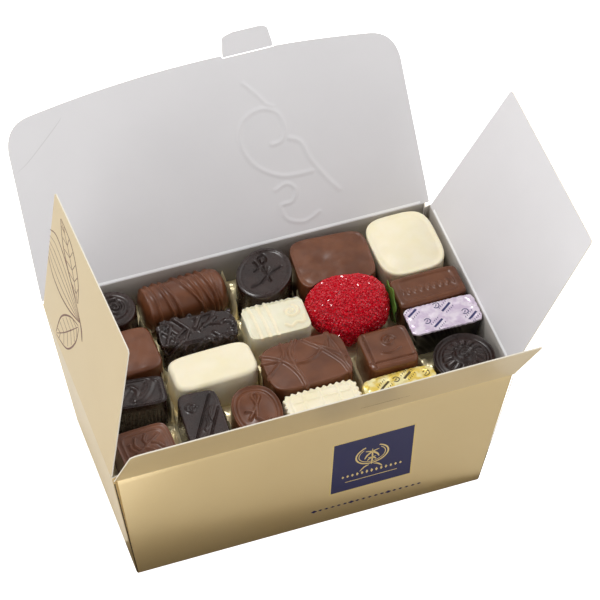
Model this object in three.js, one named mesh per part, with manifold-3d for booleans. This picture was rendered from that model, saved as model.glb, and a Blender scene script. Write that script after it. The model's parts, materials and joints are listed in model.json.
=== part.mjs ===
// An open carton of chocolate pralines: a tapered folding-board tray with four hinged flaps, a gold
// sheet over the lower layers, and one layer of pralines on the sheet. Millimetres, +Z up. The origin
// is the middle of the tray's underside, +X runs along the tray and -Y is its front.
import * as THREE from 'three';
import { mergeVertices } from 'three/addons/utils/BufferGeometryUtils.js';
import Module from 'manifold-3d';

// The tray: size at the rim, and how far each wall leans in towards the floor.
const LENGTH = 195;
const WIDTH = 114;
const HEIGHT = 84.4;
const END_TAPER = 11.2;
const SIDE_TAPER = 7.7;
const BOARD = 0.6;
const CREASE_GAP = 1.0;

// The folded web in each upright corner, from the rim down to the floor.
const WEB_CUT = { rim: 2.0, floor: 0.4 };
const WEB_DEPTH = { rim: 2.7, floor: 0.6 };

// The flaps: how far each reaches from its crease, and its lean outwards from upright in degrees.
const LID = { reach: 93.3, side: 72, corner: 13.5, crown: 6.2, lean: 38 };
const TAB = { centre: 24.7, width: 24.8, reach: 10.8, crease: 92.2, gap: 0.5, chamfer: 4.2 };
const END_FLAP = { reach: 80.8, inset: 3, taper: 3.9, corner: 1.2 };
const LEFT_LEAN = -7.3;
const LEFT_TWIST = 1.4;
const RIGHT_LEAN = 27;
const FRONT_FLAP = { reach: 60.7, inset: 0.5, taper: 0.4, rounded: 4.5, sharp: 1.2, lean: 28.9 };

// What lies inside: the gold sheet's level and the clearance between neighbours.
const SHEET_TOP = 65.5;
const SHEET_CORNER = 6;
const CLEARANCE = 0.3;
const REST = SHEET_TOP + CLEARANCE;
const PLEATS = [
  { from: [-55.5, 1], to: [-56.9, -18], halfWidth: 1.1, height: 9 },
  { from: [-60.4, -29], to: [-60.0, -50], halfWidth: 1.1, height: 8 },
  { from: [-9.4, 52], to: [-9.2, 30], halfWidth: 1.1, height: 9 },
  { from: [-12.75, 24], to: [-12.75, 7], halfWidth: 0.65, height: 8 },
  { from: [-35.4, -26], to: [-35.2, -50], halfWidth: 0.8, height: 8 },
  { from: [31.6, -12], to: [31.8, -32], halfWidth: 1.1, height: 5 },
];

// The red sweet, its tip towards the front, its leaf, and the praline that it leans on.
const SWEET = { at: [38.95, 10.6], turn: -13, half: [20.05, 15.2, 13.6], lift: 0.9, bumps: 0.35 };
const SWEET_TIP = { at: -0.12, width: 0.42, reach: 0.3, angle: 205, spread: 42 };
const LEAF = { high: 10.6, wide: 8.8, thick: 0.35, lobes: 7, turn: -4, gap: 0.6 };
const MILK_DIMPLE = { at: [40.9, 37.0], turn: -4, top: 86 };

// Board and chocolate colours.
const CARD = 0xc2ab7c;
const GOLD = 0xd9c078;
const MILK = 0x7a5038;
const DARK = 0x3a2a28;
const IVORY = 0xf3ebcf;
const WHITE_BLOCK = 0xeae8d6;
const RED = 0xc21e3a;
const GREEN = 0x4f7a2c;
const LILAC = 0xcdb8d2;
const YELLOW = 0xf0d25c;

const wasm = await Module();
wasm.setup();

const radians = THREE.MathUtils.degToRad;
const flat = () => 0;

// ---- building solids ----

/** Collects the triangles of one closed skin and welds them. */
class Skin {
  corners = [];

  triangle(a, b, c) {
    this.corners.push(...a, ...b, ...c);
  }

  quad(a, b, c, d) {
    this.triangle(a, b, c);
    this.triangle(a, c, d);
  }

  /** A wall between two rings of as many points; the second ring is the upper one. */
  wall(lower, upper) {
    lower.forEach((point, i) => {
      const next = (i + 1) % lower.length;
      this.quad(point, lower[next], upper[next], upper[i]);
    });
  }

  /** Triangles from a ring to one point, facing the way the point lies. */
  fan(ring, tip) {
    ring.forEach((point, i) => this.triangle(point, ring[(i + 1) % ring.length], tip));
  }

  geometry() {
    const loose = new THREE.BufferGeometry();
    loose.setAttribute('position', new THREE.Float32BufferAttribute(this.corners, 3));
    const closed = mergeVertices(loose, 1e-3);
    closed.computeVertexNormals();
    return closed;
  }
}

/** A geometry as a manifold-3d solid, its shared corners merged. */
function solidOf(geometry) {
  const bare = geometry.clone();
  bare.deleteAttribute('normal');
  bare.deleteAttribute('uv');
  const welded = mergeVertices(bare, 1e-3);
  return new wasm.Manifold(new wasm.Mesh({
    numProp: 3,
    vertProperties: new Float32Array(welded.attributes.position.array),
    triVerts: new Uint32Array(welded.index.array),
  }));
}

/** A manifold-3d solid as a geometry. */
function geometryOf(solid) {
  const mesh = solid.getMesh();
  const geometry = new THREE.BufferGeometry();
  geometry.setAttribute('position', new THREE.BufferAttribute(mesh.vertProperties, 3));
  geometry.setIndex(new THREE.BufferAttribute(mesh.triVerts, 1));
  geometry.computeVertexNormals();
  return geometry;
}

/** A ring of flat points lifted to one height. */
const lifted = (points, z) => points.map(([x, y]) => [x, y, z]);

/** A counter-clockwise outline with every edge moved inwards by the same distance. */
function insetOutline(points, distance) {
  return points.map((point, i) => {
    const before = points[(i + points.length - 1) % points.length];
    const after = points[(i + 1) % points.length];
    const first = new THREE.Vector2(point[0] - before[0], point[1] - before[1]).normalize();
    const second = new THREE.Vector2(after[0] - point[0], after[1] - point[1]).normalize();
    const turn = first.cross(second);
    const along = Math.abs(turn) < 1e-6 ? 0 : distance * (1 - first.dot(second)) / turn;
    const across = new THREE.Vector2(-first.y, first.x).multiplyScalar(distance);
    return [point[0] + across.x - first.x * along, point[1] + across.y - first.y * along];
  });
}

// ---- the carton ----

/** Half the tray's outer length and width at a height. */
function halfSizes(z) {
  const below = 1 - z / HEIGHT;
  return [LENGTH / 2 - END_TAPER * below, WIDTH / 2 - SIDE_TAPER * below];
}

/** The tray's outer outline at a height, its corner webs folded inwards. */
function trayOutline(z) {
  const [x, y] = halfSizes(z);
  const cut = THREE.MathUtils.lerp(WEB_CUT.floor, WEB_CUT.rim, z / HEIGHT);
  const depth = THREE.MathUtils.lerp(WEB_DEPTH.floor, WEB_DEPTH.rim, z / HEIGHT);
  return [
    [x, y - cut], [x - depth, y - depth], [x - cut, y],
    [cut - x, y], [depth - x, y - depth], [-x, y - cut],
    [-x, cut - y], [depth - x, depth - y], [cut - x, -y],
    [x - cut, -y], [x - depth, depth - y], [x, cut - y],
  ];
}

/** The tray: one folded board, its walls, floor and corner webs. */
function tray() {
  const top = HEIGHT - CREASE_GAP;
  const outer = [0, top].map((z) => lifted(trayOutline(z), z));
  const inner = [BOARD, top].map((z) => lifted(insetOutline(trayOutline(z), BOARD), z));
  const skin = new Skin();
  skin.fan([...outer[0]].reverse(), [0, 0, 0]);
  skin.wall(outer[0], outer[1]);
  skin.wall(outer[1], inner[1]);
  skin.wall(inner[1], inner[0]);
  skin.fan(inner[0], [0, 0, BOARD]);
  return skin.geometry();
}

/** A flat panel of board from an outline drawn upwards from its crease. */
function panel(outline) {
  const board = new THREE.ExtrudeGeometry(outline, {
    depth: BOARD,
    bevelEnabled: false,
    curveSegments: 5,
  });
  board.translate(0, 0, -BOARD / 2);
  board.rotateX(Math.PI / 2);
  return board;
}

/** The lid's outline: round corners, a gently crowned edge and a straight crease for the tab. */
function lid() {
  const half = LENGTH / 2;
  const shoulder = half - LID.corner;
  const crown = (x) => LID.reach - LID.crown * (x / shoulder) ** 2;
  const tabLeft = TAB.centre - TAB.width / 2 - CLEARANCE;
  const tabRight = TAB.centre + TAB.width / 2 + CLEARANCE;
  const tabEdge = TAB.crease - TAB.gap;
  const outline = new THREE.Shape();
  outline.moveTo(-half, 0);
  outline.lineTo(-half, LID.side);
  outline.quadraticCurveTo(1 - half, LID.reach - 7.7, -shoulder, crown(shoulder));
  const steps = 8;
  for (let i = 1; i <= steps; i += 1) {
    const x = THREE.MathUtils.lerp(-shoulder, tabLeft, i / steps);
    outline.lineTo(x, crown(x));
  }
  outline.lineTo(tabLeft, tabEdge);
  outline.lineTo(tabRight, tabEdge);
  for (let i = 0; i <= steps / 2; i += 1) {
    const x = THREE.MathUtils.lerp(tabRight, shoulder, 2 * i / steps);
    outline.lineTo(x, crown(x));
  }
  outline.quadraticCurveTo(half - 1, LID.reach - 7.7, half, LID.side);
  outline.lineTo(half, 0);
  return panel(outline);
}

/** The tuck tab on the lid's free edge, its left corner cut back further. */
function tuckTab() {
  const half = TAB.width / 2;
  const outline = new THREE.Shape();
  outline.moveTo(-half, 0);
  outline.lineTo(-half + 0.8, TAB.reach * 0.6);
  outline.quadraticCurveTo(-half + 1.2, TAB.reach * 0.88, -half + TAB.chamfer, TAB.reach * 0.95);
  outline.lineTo(-half + TAB.chamfer * 1.6, TAB.reach);
  outline.lineTo(half - TAB.chamfer, TAB.reach);
  outline.quadraticCurveTo(half - 0.8, TAB.reach * 0.9, half - 0.6, TAB.reach * 0.6);
  outline.lineTo(half, 0);
  return panel(outline);
}

/** An end flap, narrower towards its free edge, with a twist between its two ends. */
function endFlap(twist) {
  const half = WIDTH / 2 - END_FLAP.inset;
  const free = half - END_FLAP.taper;
  const outline = new THREE.Shape();
  outline.moveTo(-half, 0);
  outline.lineTo(-free, END_FLAP.reach - END_FLAP.corner);
  outline.lineTo(END_FLAP.corner - free, END_FLAP.reach);
  outline.lineTo(free - END_FLAP.corner, END_FLAP.reach);
  outline.lineTo(free, END_FLAP.reach - END_FLAP.corner);
  outline.lineTo(half, 0);
  const board = panel(outline);
  const points = board.attributes.position;
  for (let i = 0; i < points.count; i += 1) {
    const lean = Math.tan(radians(twist * points.getX(i) / half));
    points.setY(i, points.getY(i) + points.getZ(i) * lean);
  }
  return board;
}

/** The front flap: its left corner, seen from the front, is rounder than its right one. */
function frontFlap() {
  const half = LENGTH / 2 - FRONT_FLAP.inset;
  const free = half - FRONT_FLAP.taper;
  const { reach, rounded, sharp } = FRONT_FLAP;
  const outline = new THREE.Shape();
  outline.moveTo(-half, 0);
  outline.lineTo(-free, reach - sharp);
  outline.lineTo(sharp - free, reach);
  outline.lineTo(free - rounded, reach);
  outline.quadraticCurveTo(free, reach, free, reach - rounded);
  outline.lineTo(half, 0);
  return panel(outline);
}

/** A frame at a crease: heading turns its outward side, lean tips the panel that way. */
function crease(position, heading, lean, ...contents) {
  const fold = new THREE.Group();
  fold.rotation.x = -radians(lean);
  fold.add(...contents);
  const place = new THREE.Group();
  place.position.set(...position);
  place.rotation.z = radians(heading);
  place.add(fold);
  return place;
}

// ---- the gold sheet ----

/** The sheet over the lower layers: a solid from the floor up, its corners cut for the webs. */
function sheetBody() {
  const skin = new Skin();
  const rings = [BOARD + CLEARANCE, SHEET_TOP].map((z) => {
    const [x, y] = halfSizes(z).map((half) => half - BOARD * 1.01 - CLEARANCE);
    const corner = SHEET_CORNER;
    return lifted([
      [x, y - corner], [x - corner, y], [corner - x, y], [-x, y - corner],
      [-x, corner - y], [corner - x, -y], [x - corner, -y], [x, corner - y],
    ], z);
  });
  skin.fan([...rings[0]].reverse(), [0, 0, rings[0][0][2]]);
  skin.wall(rings[0], rings[1]);
  skin.fan(rings[1], [0, 0, SHEET_TOP]);
  return skin.geometry();
}

/** A pleat of the sheet standing up along a line between two columns of pralines. */
function pleat({ from, to, halfWidth, height }) {
  const along = new THREE.Vector2(to[0] - from[0], to[1] - from[1]);
  const section = new THREE.Shape();
  section.moveTo(-halfWidth, -1);
  section.lineTo(halfWidth, -1);
  section.lineTo(0, height);
  const prism = new THREE.ExtrudeGeometry(section, { depth: along.length(), bevelEnabled: false });
  prism.rotateX(Math.PI / 2);
  prism.rotateZ(along.angle() + Math.PI / 2);
  prism.translate(from[0], from[1], SHEET_TOP);
  return prism;
}

/** The gold sheet with its pleats. */
function goldSheet() {
  const pleats = PLEATS.map((one) => solidOf(pleat(one)));
  return geometryOf(pleats.reduce((sheet, one) => sheet.add(one), solidOf(sheetBody())));
}

// ---- moulded pralines ----

/** The points round the edge of a grid of cells, as -1 to 1 both ways, counter-clockwise. */
function gridEdge([columns, rows]) {
  const front = Array.from({ length: columns }, (_, i) => [2 * i / columns - 1, -1]);
  const right = Array.from({ length: rows }, (_, i) => [1, 2 * i / rows - 1]);
  const back = front.map(([u]) => [-u, 1]);
  const left = right.map(([, v]) => [-1, -v]);
  return [...front, ...right, ...back, ...left];
}

/**
 * A moulded praline standing on z = 0. Its outline is a superellipse of the given power, wider at
 * the base by the draft, its upper edge is rounded off, and its face has a relief.
 */
function moulded({ size, height, power, draft, edge, cells = [10, 8], relief = flat, ripple = flat }) {
  const [columns, rows] = cells;
  const half = size.map((span) => span / 2);
  const place = (u, v, inset) => {
    const reach = Math.max(Math.abs(u), Math.abs(v));
    const spread = reach && (Math.abs(u / reach) ** power + Math.abs(v / reach) ** power);
    const scale = reach && spread ** (-1 / power);
    const bulge = ripple(Math.atan2(v * half[1], u * half[0])) - inset;
    return [u * scale * (half[0] + bulge), v * scale * (half[1] + bulge)];
  };
  const face = (u, v) => {
    const [x, y] = place(u, v, edge);
    return [x, y, height + relief(x, y, Math.max(Math.abs(u), Math.abs(v)))];
  };
  const border = gridEdge(cells);
  const ring = (inset, z) => lifted(border.map(([u, v]) => place(u, v, inset)), z);
  const rings = [
    ring(-draft, 0),
    ring(0, height - edge),
    ring(edge * 0.3, height - edge * 0.3),
    border.map(([u, v]) => face(u, v)),
  ];
  const skin = new Skin();
  skin.fan([...rings[0]].reverse(), [0, 0, 0]);
  rings.slice(1).forEach((upper, i) => skin.wall(rings[i], upper));
  for (let i = 0; i < columns; i += 1) {
    for (let j = 0; j < rows; j += 1) {
      const [u, v] = [2 * i / columns - 1, 2 * j / rows - 1];
      const [uu, vv] = [2 * (i + 1) / columns - 1, 2 * (j + 1) / rows - 1];
      skin.quad(face(u, v), face(uu, v), face(uu, vv), face(u, vv));
    }
  }
  return skin.geometry();
}

/** A round praline with a raised rim and a boss in the middle. */
function darkDisc(height) {
  const relief = (x, y, reach) => (reach < 0.3 || reach > 0.7 ? 0.5 : 0);
  return moulded({ size: [22, 22], height, power: 2, draft: 0.9, edge: 1, cells: [8, 8], relief });
}

/** A plain milk praline with soft corners. */
function milkPlain(height) {
  const relief = (x, y, reach) => 0.6 * (1 - reach ** 2);
  return moulded({ size: [37.2, 26.8], height, power: 6, draft: 0.4, edge: 2, relief });
}

/** A dark bar with a thin rim round a scroll and fluted sides. */
function darkScroll(height) {
  const relief = (x, y, reach) => (reach > 0.85 ? 0.6 : 0.5 * Math.sin(x / 3.2) * Math.sin(y / 2.4));
  const ripple = (angle) => 0.15 * Math.cos(24 * angle);
  return moulded({ size: [31, 16.8], height, power: 7, draft: 0.2, edge: 0.8, relief, ripple });
}

/** A square milk praline with a raised oval in its face. */
function milkRelief(height) {
  const relief = (x, y) => 0.9 * Math.exp(-((x / 7) ** 2 + (y / 5) ** 2));
  return moulded({ size: [25.8, 23.6], height, power: 6, draft: 0.5, edge: 1.6, cells: [8, 8], relief });
}

/** A log with round ends and bands of drizzle round it, flattened where it rests. */
function milkLog(height) {
  const length = 41.5;
  const sides = 20;
  const slices = 16;
  const radius = 11.2;
  const axis = height - radius;
  const bands = [-13.5, -8, 6, 11];
  const ends = 5;
  const section = (x) => {
    const beyond = Math.max(0, Math.abs(x) - (length / 2 - ends)) / ends;
    const drizzle = Math.max(...bands.map((band) => 0.5 * Math.exp(-((x - band) ** 2))));
    const r = (radius - 0.5) * Math.sqrt(1 - 0.75 * beyond ** 2) + drizzle;
    return Array.from({ length: sides }, (_, i) => {
      const angle = 2 * Math.PI * i / sides;
      return [x, r * Math.cos(angle), Math.max(0, axis + r * Math.sin(angle))];
    });
  };
  const skin = new Skin();
  const rings = Array.from({ length: slices + 1 }, (_, i) => section(length * (i / slices - 0.5)));
  rings.slice(1).forEach((next, i) => skin.wall(rings[i], next));
  skin.fan([...rings[0]].reverse(), [-length / 2, 0, axis]);
  skin.fan(rings[slices], [length / 2, 0, axis]);
  return skin.geometry();
}

/** A dark bar covered in rough flakes. */
function darkBark(height) {
  const relief = (x, y) => 0.9 * Math.sin(0.9 * x + 1.7 * y) * Math.cos(1.3 * x - 0.8 * y) - 0.9;
  const ripple = (angle) => 0.3 * Math.cos(11 * angle);
  const size = [37.4, 18.8];
  return moulded({ size, height, power: 5, draft: 0.3, edge: 1.2, cells: [14, 8], relief, ripple });
}

/** An ivory bar with a smooth, slightly domed face. */
function ivoryBar(height) {
  const relief = (x, y, reach) => 0.5 * (1 - reach ** 2);
  return moulded({ size: [40.4, 21], height, power: 5, draft: 0.4, edge: 2.2, relief });
}

/** A dark bar with a flat band running slantwise between two grooves. */
function darkBand(height) {
  const relief = (x, y) => {
    const across = Math.abs(x + 0.55 * y) - 3.6;
    return Math.abs(across) < 0.7 ? -0.5 : 0;
  };
  return moulded({ size: [19.4, 34.2], height, power: 6, draft: 0.3, edge: 1, cells: [10, 12], relief });
}

/** A domed milk egg with a border line. */
function milkEgg(height) {
  const relief = (x, y, reach) => 3.2 * (1 - reach ** 2) - 3.2;
  return moulded({ size: [23, 29.2], height, power: 2.3, draft: 0.2, edge: 2, cells: [8, 10], relief });
}

/** A tall dark oval with a flat face. */
function darkOval(height) {
  const relief = (x, y, reach) => (reach > 0.9 ? 0 : -0.4);
  return moulded({ size: [32, 25.6], height, power: 2, draft: 0.3, edge: 0.8, cells: [8, 8], relief });
}

/** A white block with an arched face, three ribs on its left and a curl on its right. */
function whiteBlock(height) {
  const ribs = [-10.4, -6.2, -2.1];
  const relief = (x, y) => {
    const rib = ribs.some((at) => Math.abs(x - at) < 1) ? 0.6 : 0;
    const curl = 0.6 * Math.exp(-(((Math.hypot(x - 7.2, y) - 3.6) / 0.9) ** 2));
    return rib + curl - 0.018 * y * y;
  };
  return moulded({ size: [30, 20], height, power: 8, draft: 0.3, edge: 0.7, cells: [18, 6], relief });
}

/** A milk praline with thin arcs laid across one another. */
function milkArcs(height) {
  const relief = (x, y, reach) => {
    const first = Math.exp(-(((Math.hypot(x + 12, y - 10) - 14) / 0.9) ** 2));
    const second = Math.exp(-(((Math.hypot(x - 12, y + 10) - 14) / 0.9) ** 2));
    return 0.5 * Math.max(first, second) + 1.2 * (1 - reach ** 2) - 1.2;
  };
  return moulded({ size: [40.2, 27.8], height, power: 4.5, draft: 0.3, edge: 1.8, cells: [12, 10], relief });
}

/** An ivory waffle: raised bars both ways and a scalloped edge. */
function ivoryWaffle(height) {
  const relief = (x, y) => {
    const bars = Math.max(Math.cos(2 * Math.PI * x / 6.7), Math.cos(2 * Math.PI * y / 6.1));
    return 0.8 * (bars - 1);
  };
  const ripple = (angle) => 0.25 * Math.cos(20 * angle);
  const size = [35.4, 18.8];
  return moulded({ size, height, power: 7, draft: 0.1, edge: 0.7, cells: [20, 10], relief, ripple });
}

/** A large milk praline with a dimple, hollowed in front where the red sweet leans on it. */
function milkDimple(height, sweet) {
  const relief = (x, y, reach) => {
    const dimple = 1.2 * Math.exp(-(((x + 4) / 4) ** 2 + ((y + 1) / 3.4) ** 2));
    return 1.4 * (1 - reach ** 2) - 1.4 - dimple;
  };
  const whole = moulded({ size: [37.8, 31], height, power: 5, draft: 0.3, edge: 2, relief });
  whole.rotateZ(radians(MILK_DIMPLE.turn));
  whole.translate(...MILK_DIMPLE.at, REST);
  return geometryOf(solidOf(whole).subtract(solidOf(sweet)));
}

/** A square milk praline with a raised frame and a small curl. */
function milkFrame(height) {
  const relief = (x, y, reach) => {
    const frame = reach > 0.72 ? 0.5 : 0;
    const curl = 0.4 * Math.exp(-(((Math.hypot(x, y) - 3) / 0.9) ** 2));
    return frame + curl;
  };
  return moulded({ size: [24.2, 23.4], height, power: 8, draft: 0.3, edge: 0.8, cells: [12, 12], relief });
}

/** A praline wrapped in yellow foil, its face crinkled. */
function yellowFoil(height) {
  const relief = (x, y) => 0.35 * Math.sin(0.8 * x + 0.5 * y) * Math.sin(1.1 * y) - 0.3;
  return moulded({ size: [35.6, 17.2], height, power: 5, draft: 0.1, edge: 1.2, relief });
}

/** An ivory praline like a small pillow. */
function ivoryPillow(height) {
  const relief = (x, y, reach) => 2.2 * (1 - reach ** 2) - 2.2;
  return moulded({ size: [33, 38], height, power: 3.6, draft: -0.8, edge: 3.4, relief });
}

/** A milk bar with bevelled edges. */
function milkBar(height) {
  return moulded({ size: [34, 18.4], height, power: 9, draft: -1, edge: 1.8 });
}

/** A flat praline wrapped in lilac foil, wider at its face than at its base. */
function lilacFoil(height) {
  const relief = (x, y) => 0.25 * Math.sin(0.5 * x - 0.9 * y) - 0.25;
  return moulded({ size: [35, 16.8], height, power: 9, draft: -2.4, edge: 0.6, relief });
}

/** A round dark praline with petals round a knob. */
function darkPetals(height) {
  const relief = (x, y, reach) => {
    const dome = 4.6 * (1 - reach ** 2) - 4.6;
    const petals = 0.6 * Math.cos(8 * Math.atan2(y, x)) * Math.min(1, reach * 2);
    return dome + petals * (1 - reach ** 4);
  };
  return moulded({ size: [29.2, 29.2], height, power: 2, draft: 0, edge: 2.4, cells: [12, 12], relief });
}

// ---- the red sweet and its leaf ----

/** The sweet's skin, grown by a clearance: an egg on its side, blunt at +X, with a low tip in front. */
function redSweet(grow, bumps) {
  const rings = 14;
  const sides = 24;
  const [a, b, c] = SWEET.half.map((half) => half + grow);
  const tip = (along, angle) => {
    const across = (angle - radians(SWEET_TIP.angle)) / radians(SWEET_TIP.spread);
    return SWEET_TIP.reach * Math.exp(-(((along - SWEET_TIP.at) / SWEET_TIP.width) ** 2) - across ** 2);
  };
  const point = (i, j) => {
    const along = -Math.cos(Math.PI * i / rings);
    const angle = 2 * Math.PI * j / sides;
    const blunt = along > 0 ? 3.4 : 2.1;
    const girth = (1 - Math.abs(along) ** blunt) ** (1 / 2) * (1 + tip(along, angle));
    const rough = bumps * Math.sin(7.3 * i) * Math.sin(5.1 * j + 2.3 * i) * girth;
    const z = (c + rough) * girth * Math.sin(angle);
    return [a * along, (b + rough) * girth * Math.cos(angle), z];
  };
  const ring = (i) => Array.from({ length: sides }, (_, j) => point(i, j));
  const skin = new Skin();
  for (let i = 1; i < rings - 1; i += 1) {
    skin.wall(ring(i), ring(i + 1));
  }
  skin.fan([...ring(1)].reverse(), [-a, 0, 0]);
  skin.fan(ring(rings - 1), [a, 0, 0]);
  const sweet = skin.geometry();
  sweet.rotateZ(radians(SWEET.turn));
  sweet.translate(...SWEET.at, REST + SWEET.half[2] + SWEET.lift);
  return sweet;
}

/** The green leaf behind the sweet's shoulder: a thin wavy oval with lobes. */
function leaf() {
  const { high, wide, thick, lobes, turn, gap } = LEAF;
  const sides = 28;
  const rim = (side, scale) => Array.from({ length: sides }, (_, i) => {
    const angle = 2 * Math.PI * i / sides;
    const reach = scale * (1 + 0.1 * Math.cos(lobes * angle));
    const wave = 0.3 * scale * Math.cos(3 * angle);
    return [wave + side * thick, wide * reach * Math.cos(angle), high * reach * Math.sin(angle)];
  });
  const skin = new Skin();
  skin.wall(rim(0, 0.5), rim(0, 1));
  skin.wall(rim(0, 1), rim(1, 1));
  skin.wall(rim(1, 1), rim(1, 0.5));
  skin.fan([...rim(0, 0.5)].reverse(), [0, 0, 0]);
  skin.fan(rim(1, 0.5), [thick, 0, 0]);
  const geometry = skin.geometry();
  geometry.translate(gap, 0, 0);
  geometry.rotateZ(radians(turn));
  const end = new THREE.Vector2(SWEET.half[0], 0).rotateAround(new THREE.Vector2(), radians(SWEET.turn));
  geometry.translate(SWEET.at[0] + end.x, SWEET.at[1] + end.y, REST + SWEET.half[2] + SWEET.lift);
  return geometry;
}

// ---- assembly ----

const carton = new THREE.Group();

function mesh(name, geometry, color, roughness = 0.45, metalness = 0) {
  const piece = new THREE.Mesh(geometry, new THREE.MeshStandardMaterial({ color, roughness, metalness }));
  piece.name = name;
  return piece;
}

const creaseX = LENGTH / 2 - BOARD / 2;
const creaseY = WIDTH / 2 - BOARD / 2;
const tab = crease([TAB.centre, 0, TAB.crease], 0, 0, mesh('tuck_tab', tuckTab(), CARD, 0.6));
carton.add(
  mesh('carton_tray', tray(), CARD, 0.5, 0.3),
  mesh('gold_sheet', goldSheet(), GOLD, 0.3, 0.8),
  crease([0, creaseY, HEIGHT], 0, LID.lean, mesh('lid', lid(), CARD, 0.6), tab),
  crease([-creaseX, 0, HEIGHT], 90, LEFT_LEAN, mesh('left_flap', endFlap(LEFT_TWIST), CARD, 0.6)),
  crease([creaseX, 0, HEIGHT], -90, RIGHT_LEAN, mesh('right_flap', endFlap(0), CARD, 0.6)),
  crease([0, -creaseY, HEIGHT], 180, FRONT_FLAP.lean, mesh('front_flap', frontFlap(), CARD, 0.6)),
);

// Each praline of the top layer: where it stands, its turn in degrees and the height of its face.
const pralines = [
  { name: 'dark_disc', shape: darkDisc, color: DARK, at: [-67.0, 41.6], turn: 0, top: 84.0 },
  { name: 'milk_plain', shape: milkPlain, color: MILK, at: [-72.8, 14.6], turn: 1.5, top: 84.2 },
  { name: 'dark_scroll', shape: darkScroll, color: DARK, at: [-73.8, -9.8], turn: -6.5, top: 84.2 },
  { name: 'milk_relief', shape: milkRelief, color: MILK, at: [-76.6, -41.2], turn: 2, top: 84.0 },
  { name: 'milk_log', shape: milkLog, color: MILK, at: [-32.4, 42.9], turn: 2.8, top: 87.2 },
  { name: 'dark_bark', shape: darkBark, color: DARK, at: [-33.2, 17.0], turn: -3.4, top: 85.2 },
  { name: 'ivory_bar', shape: ivoryBar, color: IVORY, at: [-33.5, -6.4], turn: 1.7, top: 84.8 },
  { name: 'dark_band', shape: darkBand, color: DARK, at: [-47.2, -35.9], turn: -4, top: 84.5 },
  { name: 'milk_egg', shape: milkEgg, color: MILK, at: [-22.2, -37.6], turn: -3, top: 85.2 },
  { name: 'dark_oval', shape: darkOval, color: DARK, at: [6.7, 37.6], turn: 52, top: 87.2 },
  { name: 'white_block', shape: whiteBlock, color: WHITE_BLOCK, at: [3.7, 11.3], turn: -1.5, top: 84.8 },
  { name: 'milk_arcs', shape: milkArcs, color: MILK, at: [8.4, -19.3], turn: 0, top: 86.6 },
  { name: 'ivory_waffle', shape: ivoryWaffle, color: IVORY, at: [8.2, -43.8], turn: 0, top: 84.2 },
  { name: 'milk_frame', shape: milkFrame, color: MILK, at: [47.0, -23.3], turn: -1, top: 85.3 },
  { name: 'yellow_foil', shape: yellowFoil, color: YELLOW, at: [46.0, -44.8], turn: 0, top: 82.8 },
  { name: 'ivory_pillow', shape: ivoryPillow, color: IVORY, at: [77.5, 36.0], turn: 0, top: 86.4 },
  { name: 'milk_bar', shape: milkBar, color: MILK, at: [78.0, 6.7], turn: 0, top: 85.0 },
  { name: 'lilac_foil', shape: lilacFoil, color: LILAC, at: [78.7, -11.8], turn: -1, top: 84.1 },
  { name: 'dark_petals', shape: darkPetals, color: DARK, at: [79.4, -38.8], turn: 0, top: 85.0 },
];
pralines.forEach(({ name, shape, color, at, turn, top }) => {
  const praline = mesh(name, shape(top - REST), color);
  praline.position.set(...at, REST);
  praline.rotation.z = radians(turn);
  carton.add(praline);
});

const hollow = redSweet(CLEARANCE + 0.5, 0);
carton.add(
  mesh('milk_dimple', milkDimple(MILK_DIMPLE.top - REST, hollow), MILK),
  mesh('red_sweet', redSweet(0, SWEET.bumps), RED, 0.6),
  mesh('sweet_leaf', leaf(), GREEN, 0.6),
);

export default carton;
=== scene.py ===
"""An open gold card box of chocolate pralines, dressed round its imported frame. Metres, +Z up."""

import json
import logging
import math
from collections.abc import Callable
from dataclasses import dataclass, field
from enum import Enum

import bmesh
import bpy
import numpy as np
from mathutils import Matrix, Vector

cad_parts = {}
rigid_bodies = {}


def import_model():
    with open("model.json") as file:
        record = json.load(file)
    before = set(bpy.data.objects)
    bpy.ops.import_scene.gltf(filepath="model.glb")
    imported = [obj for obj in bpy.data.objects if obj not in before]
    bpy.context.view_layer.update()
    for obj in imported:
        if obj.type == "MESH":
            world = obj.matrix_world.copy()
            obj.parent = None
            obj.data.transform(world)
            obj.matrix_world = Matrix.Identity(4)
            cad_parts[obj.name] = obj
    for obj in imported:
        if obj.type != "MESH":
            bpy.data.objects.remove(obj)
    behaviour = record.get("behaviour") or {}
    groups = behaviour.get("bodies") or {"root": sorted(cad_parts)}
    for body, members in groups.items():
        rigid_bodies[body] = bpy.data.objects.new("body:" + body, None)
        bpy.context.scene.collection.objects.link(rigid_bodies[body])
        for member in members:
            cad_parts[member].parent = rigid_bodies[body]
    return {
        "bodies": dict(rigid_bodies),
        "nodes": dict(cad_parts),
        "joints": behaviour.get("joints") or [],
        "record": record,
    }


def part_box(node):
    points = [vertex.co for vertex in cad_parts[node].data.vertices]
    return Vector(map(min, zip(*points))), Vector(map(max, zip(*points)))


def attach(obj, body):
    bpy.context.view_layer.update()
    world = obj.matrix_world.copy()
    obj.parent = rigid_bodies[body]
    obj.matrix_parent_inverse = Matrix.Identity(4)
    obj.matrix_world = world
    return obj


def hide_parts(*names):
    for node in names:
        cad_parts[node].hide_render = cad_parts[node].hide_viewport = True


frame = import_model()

LOG = logging.getLogger("praline_box")
MM = 0.001
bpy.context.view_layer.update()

# The camera: aim point on the rim plane, direction and distance in the shared frame.
AIM_MM = (17.96, 17.97, 84.4)
AZIMUTH = -19.494
ELEVATION = 49.527
ROLL = 0.415
DISTANCE_MM = 1677.2
FOCAL_PX = 3555.2
FRAME_PX = 600
SENSOR_MM = 36.0


class Side(Enum):
    """The sides of the box and of the room, as the way that each lies."""

    RIGHT = (1.0, 0.0, 0.0)
    LEFT = (-1.0, 0.0, 0.0)
    BACK = (0.0, 1.0, 0.0)
    FRONT = (0.0, -1.0, 0.0)
    ABOVE = (0.0, 0.0, 1.0)
    BELOW = (0.0, 0.0, -1.0)


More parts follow.
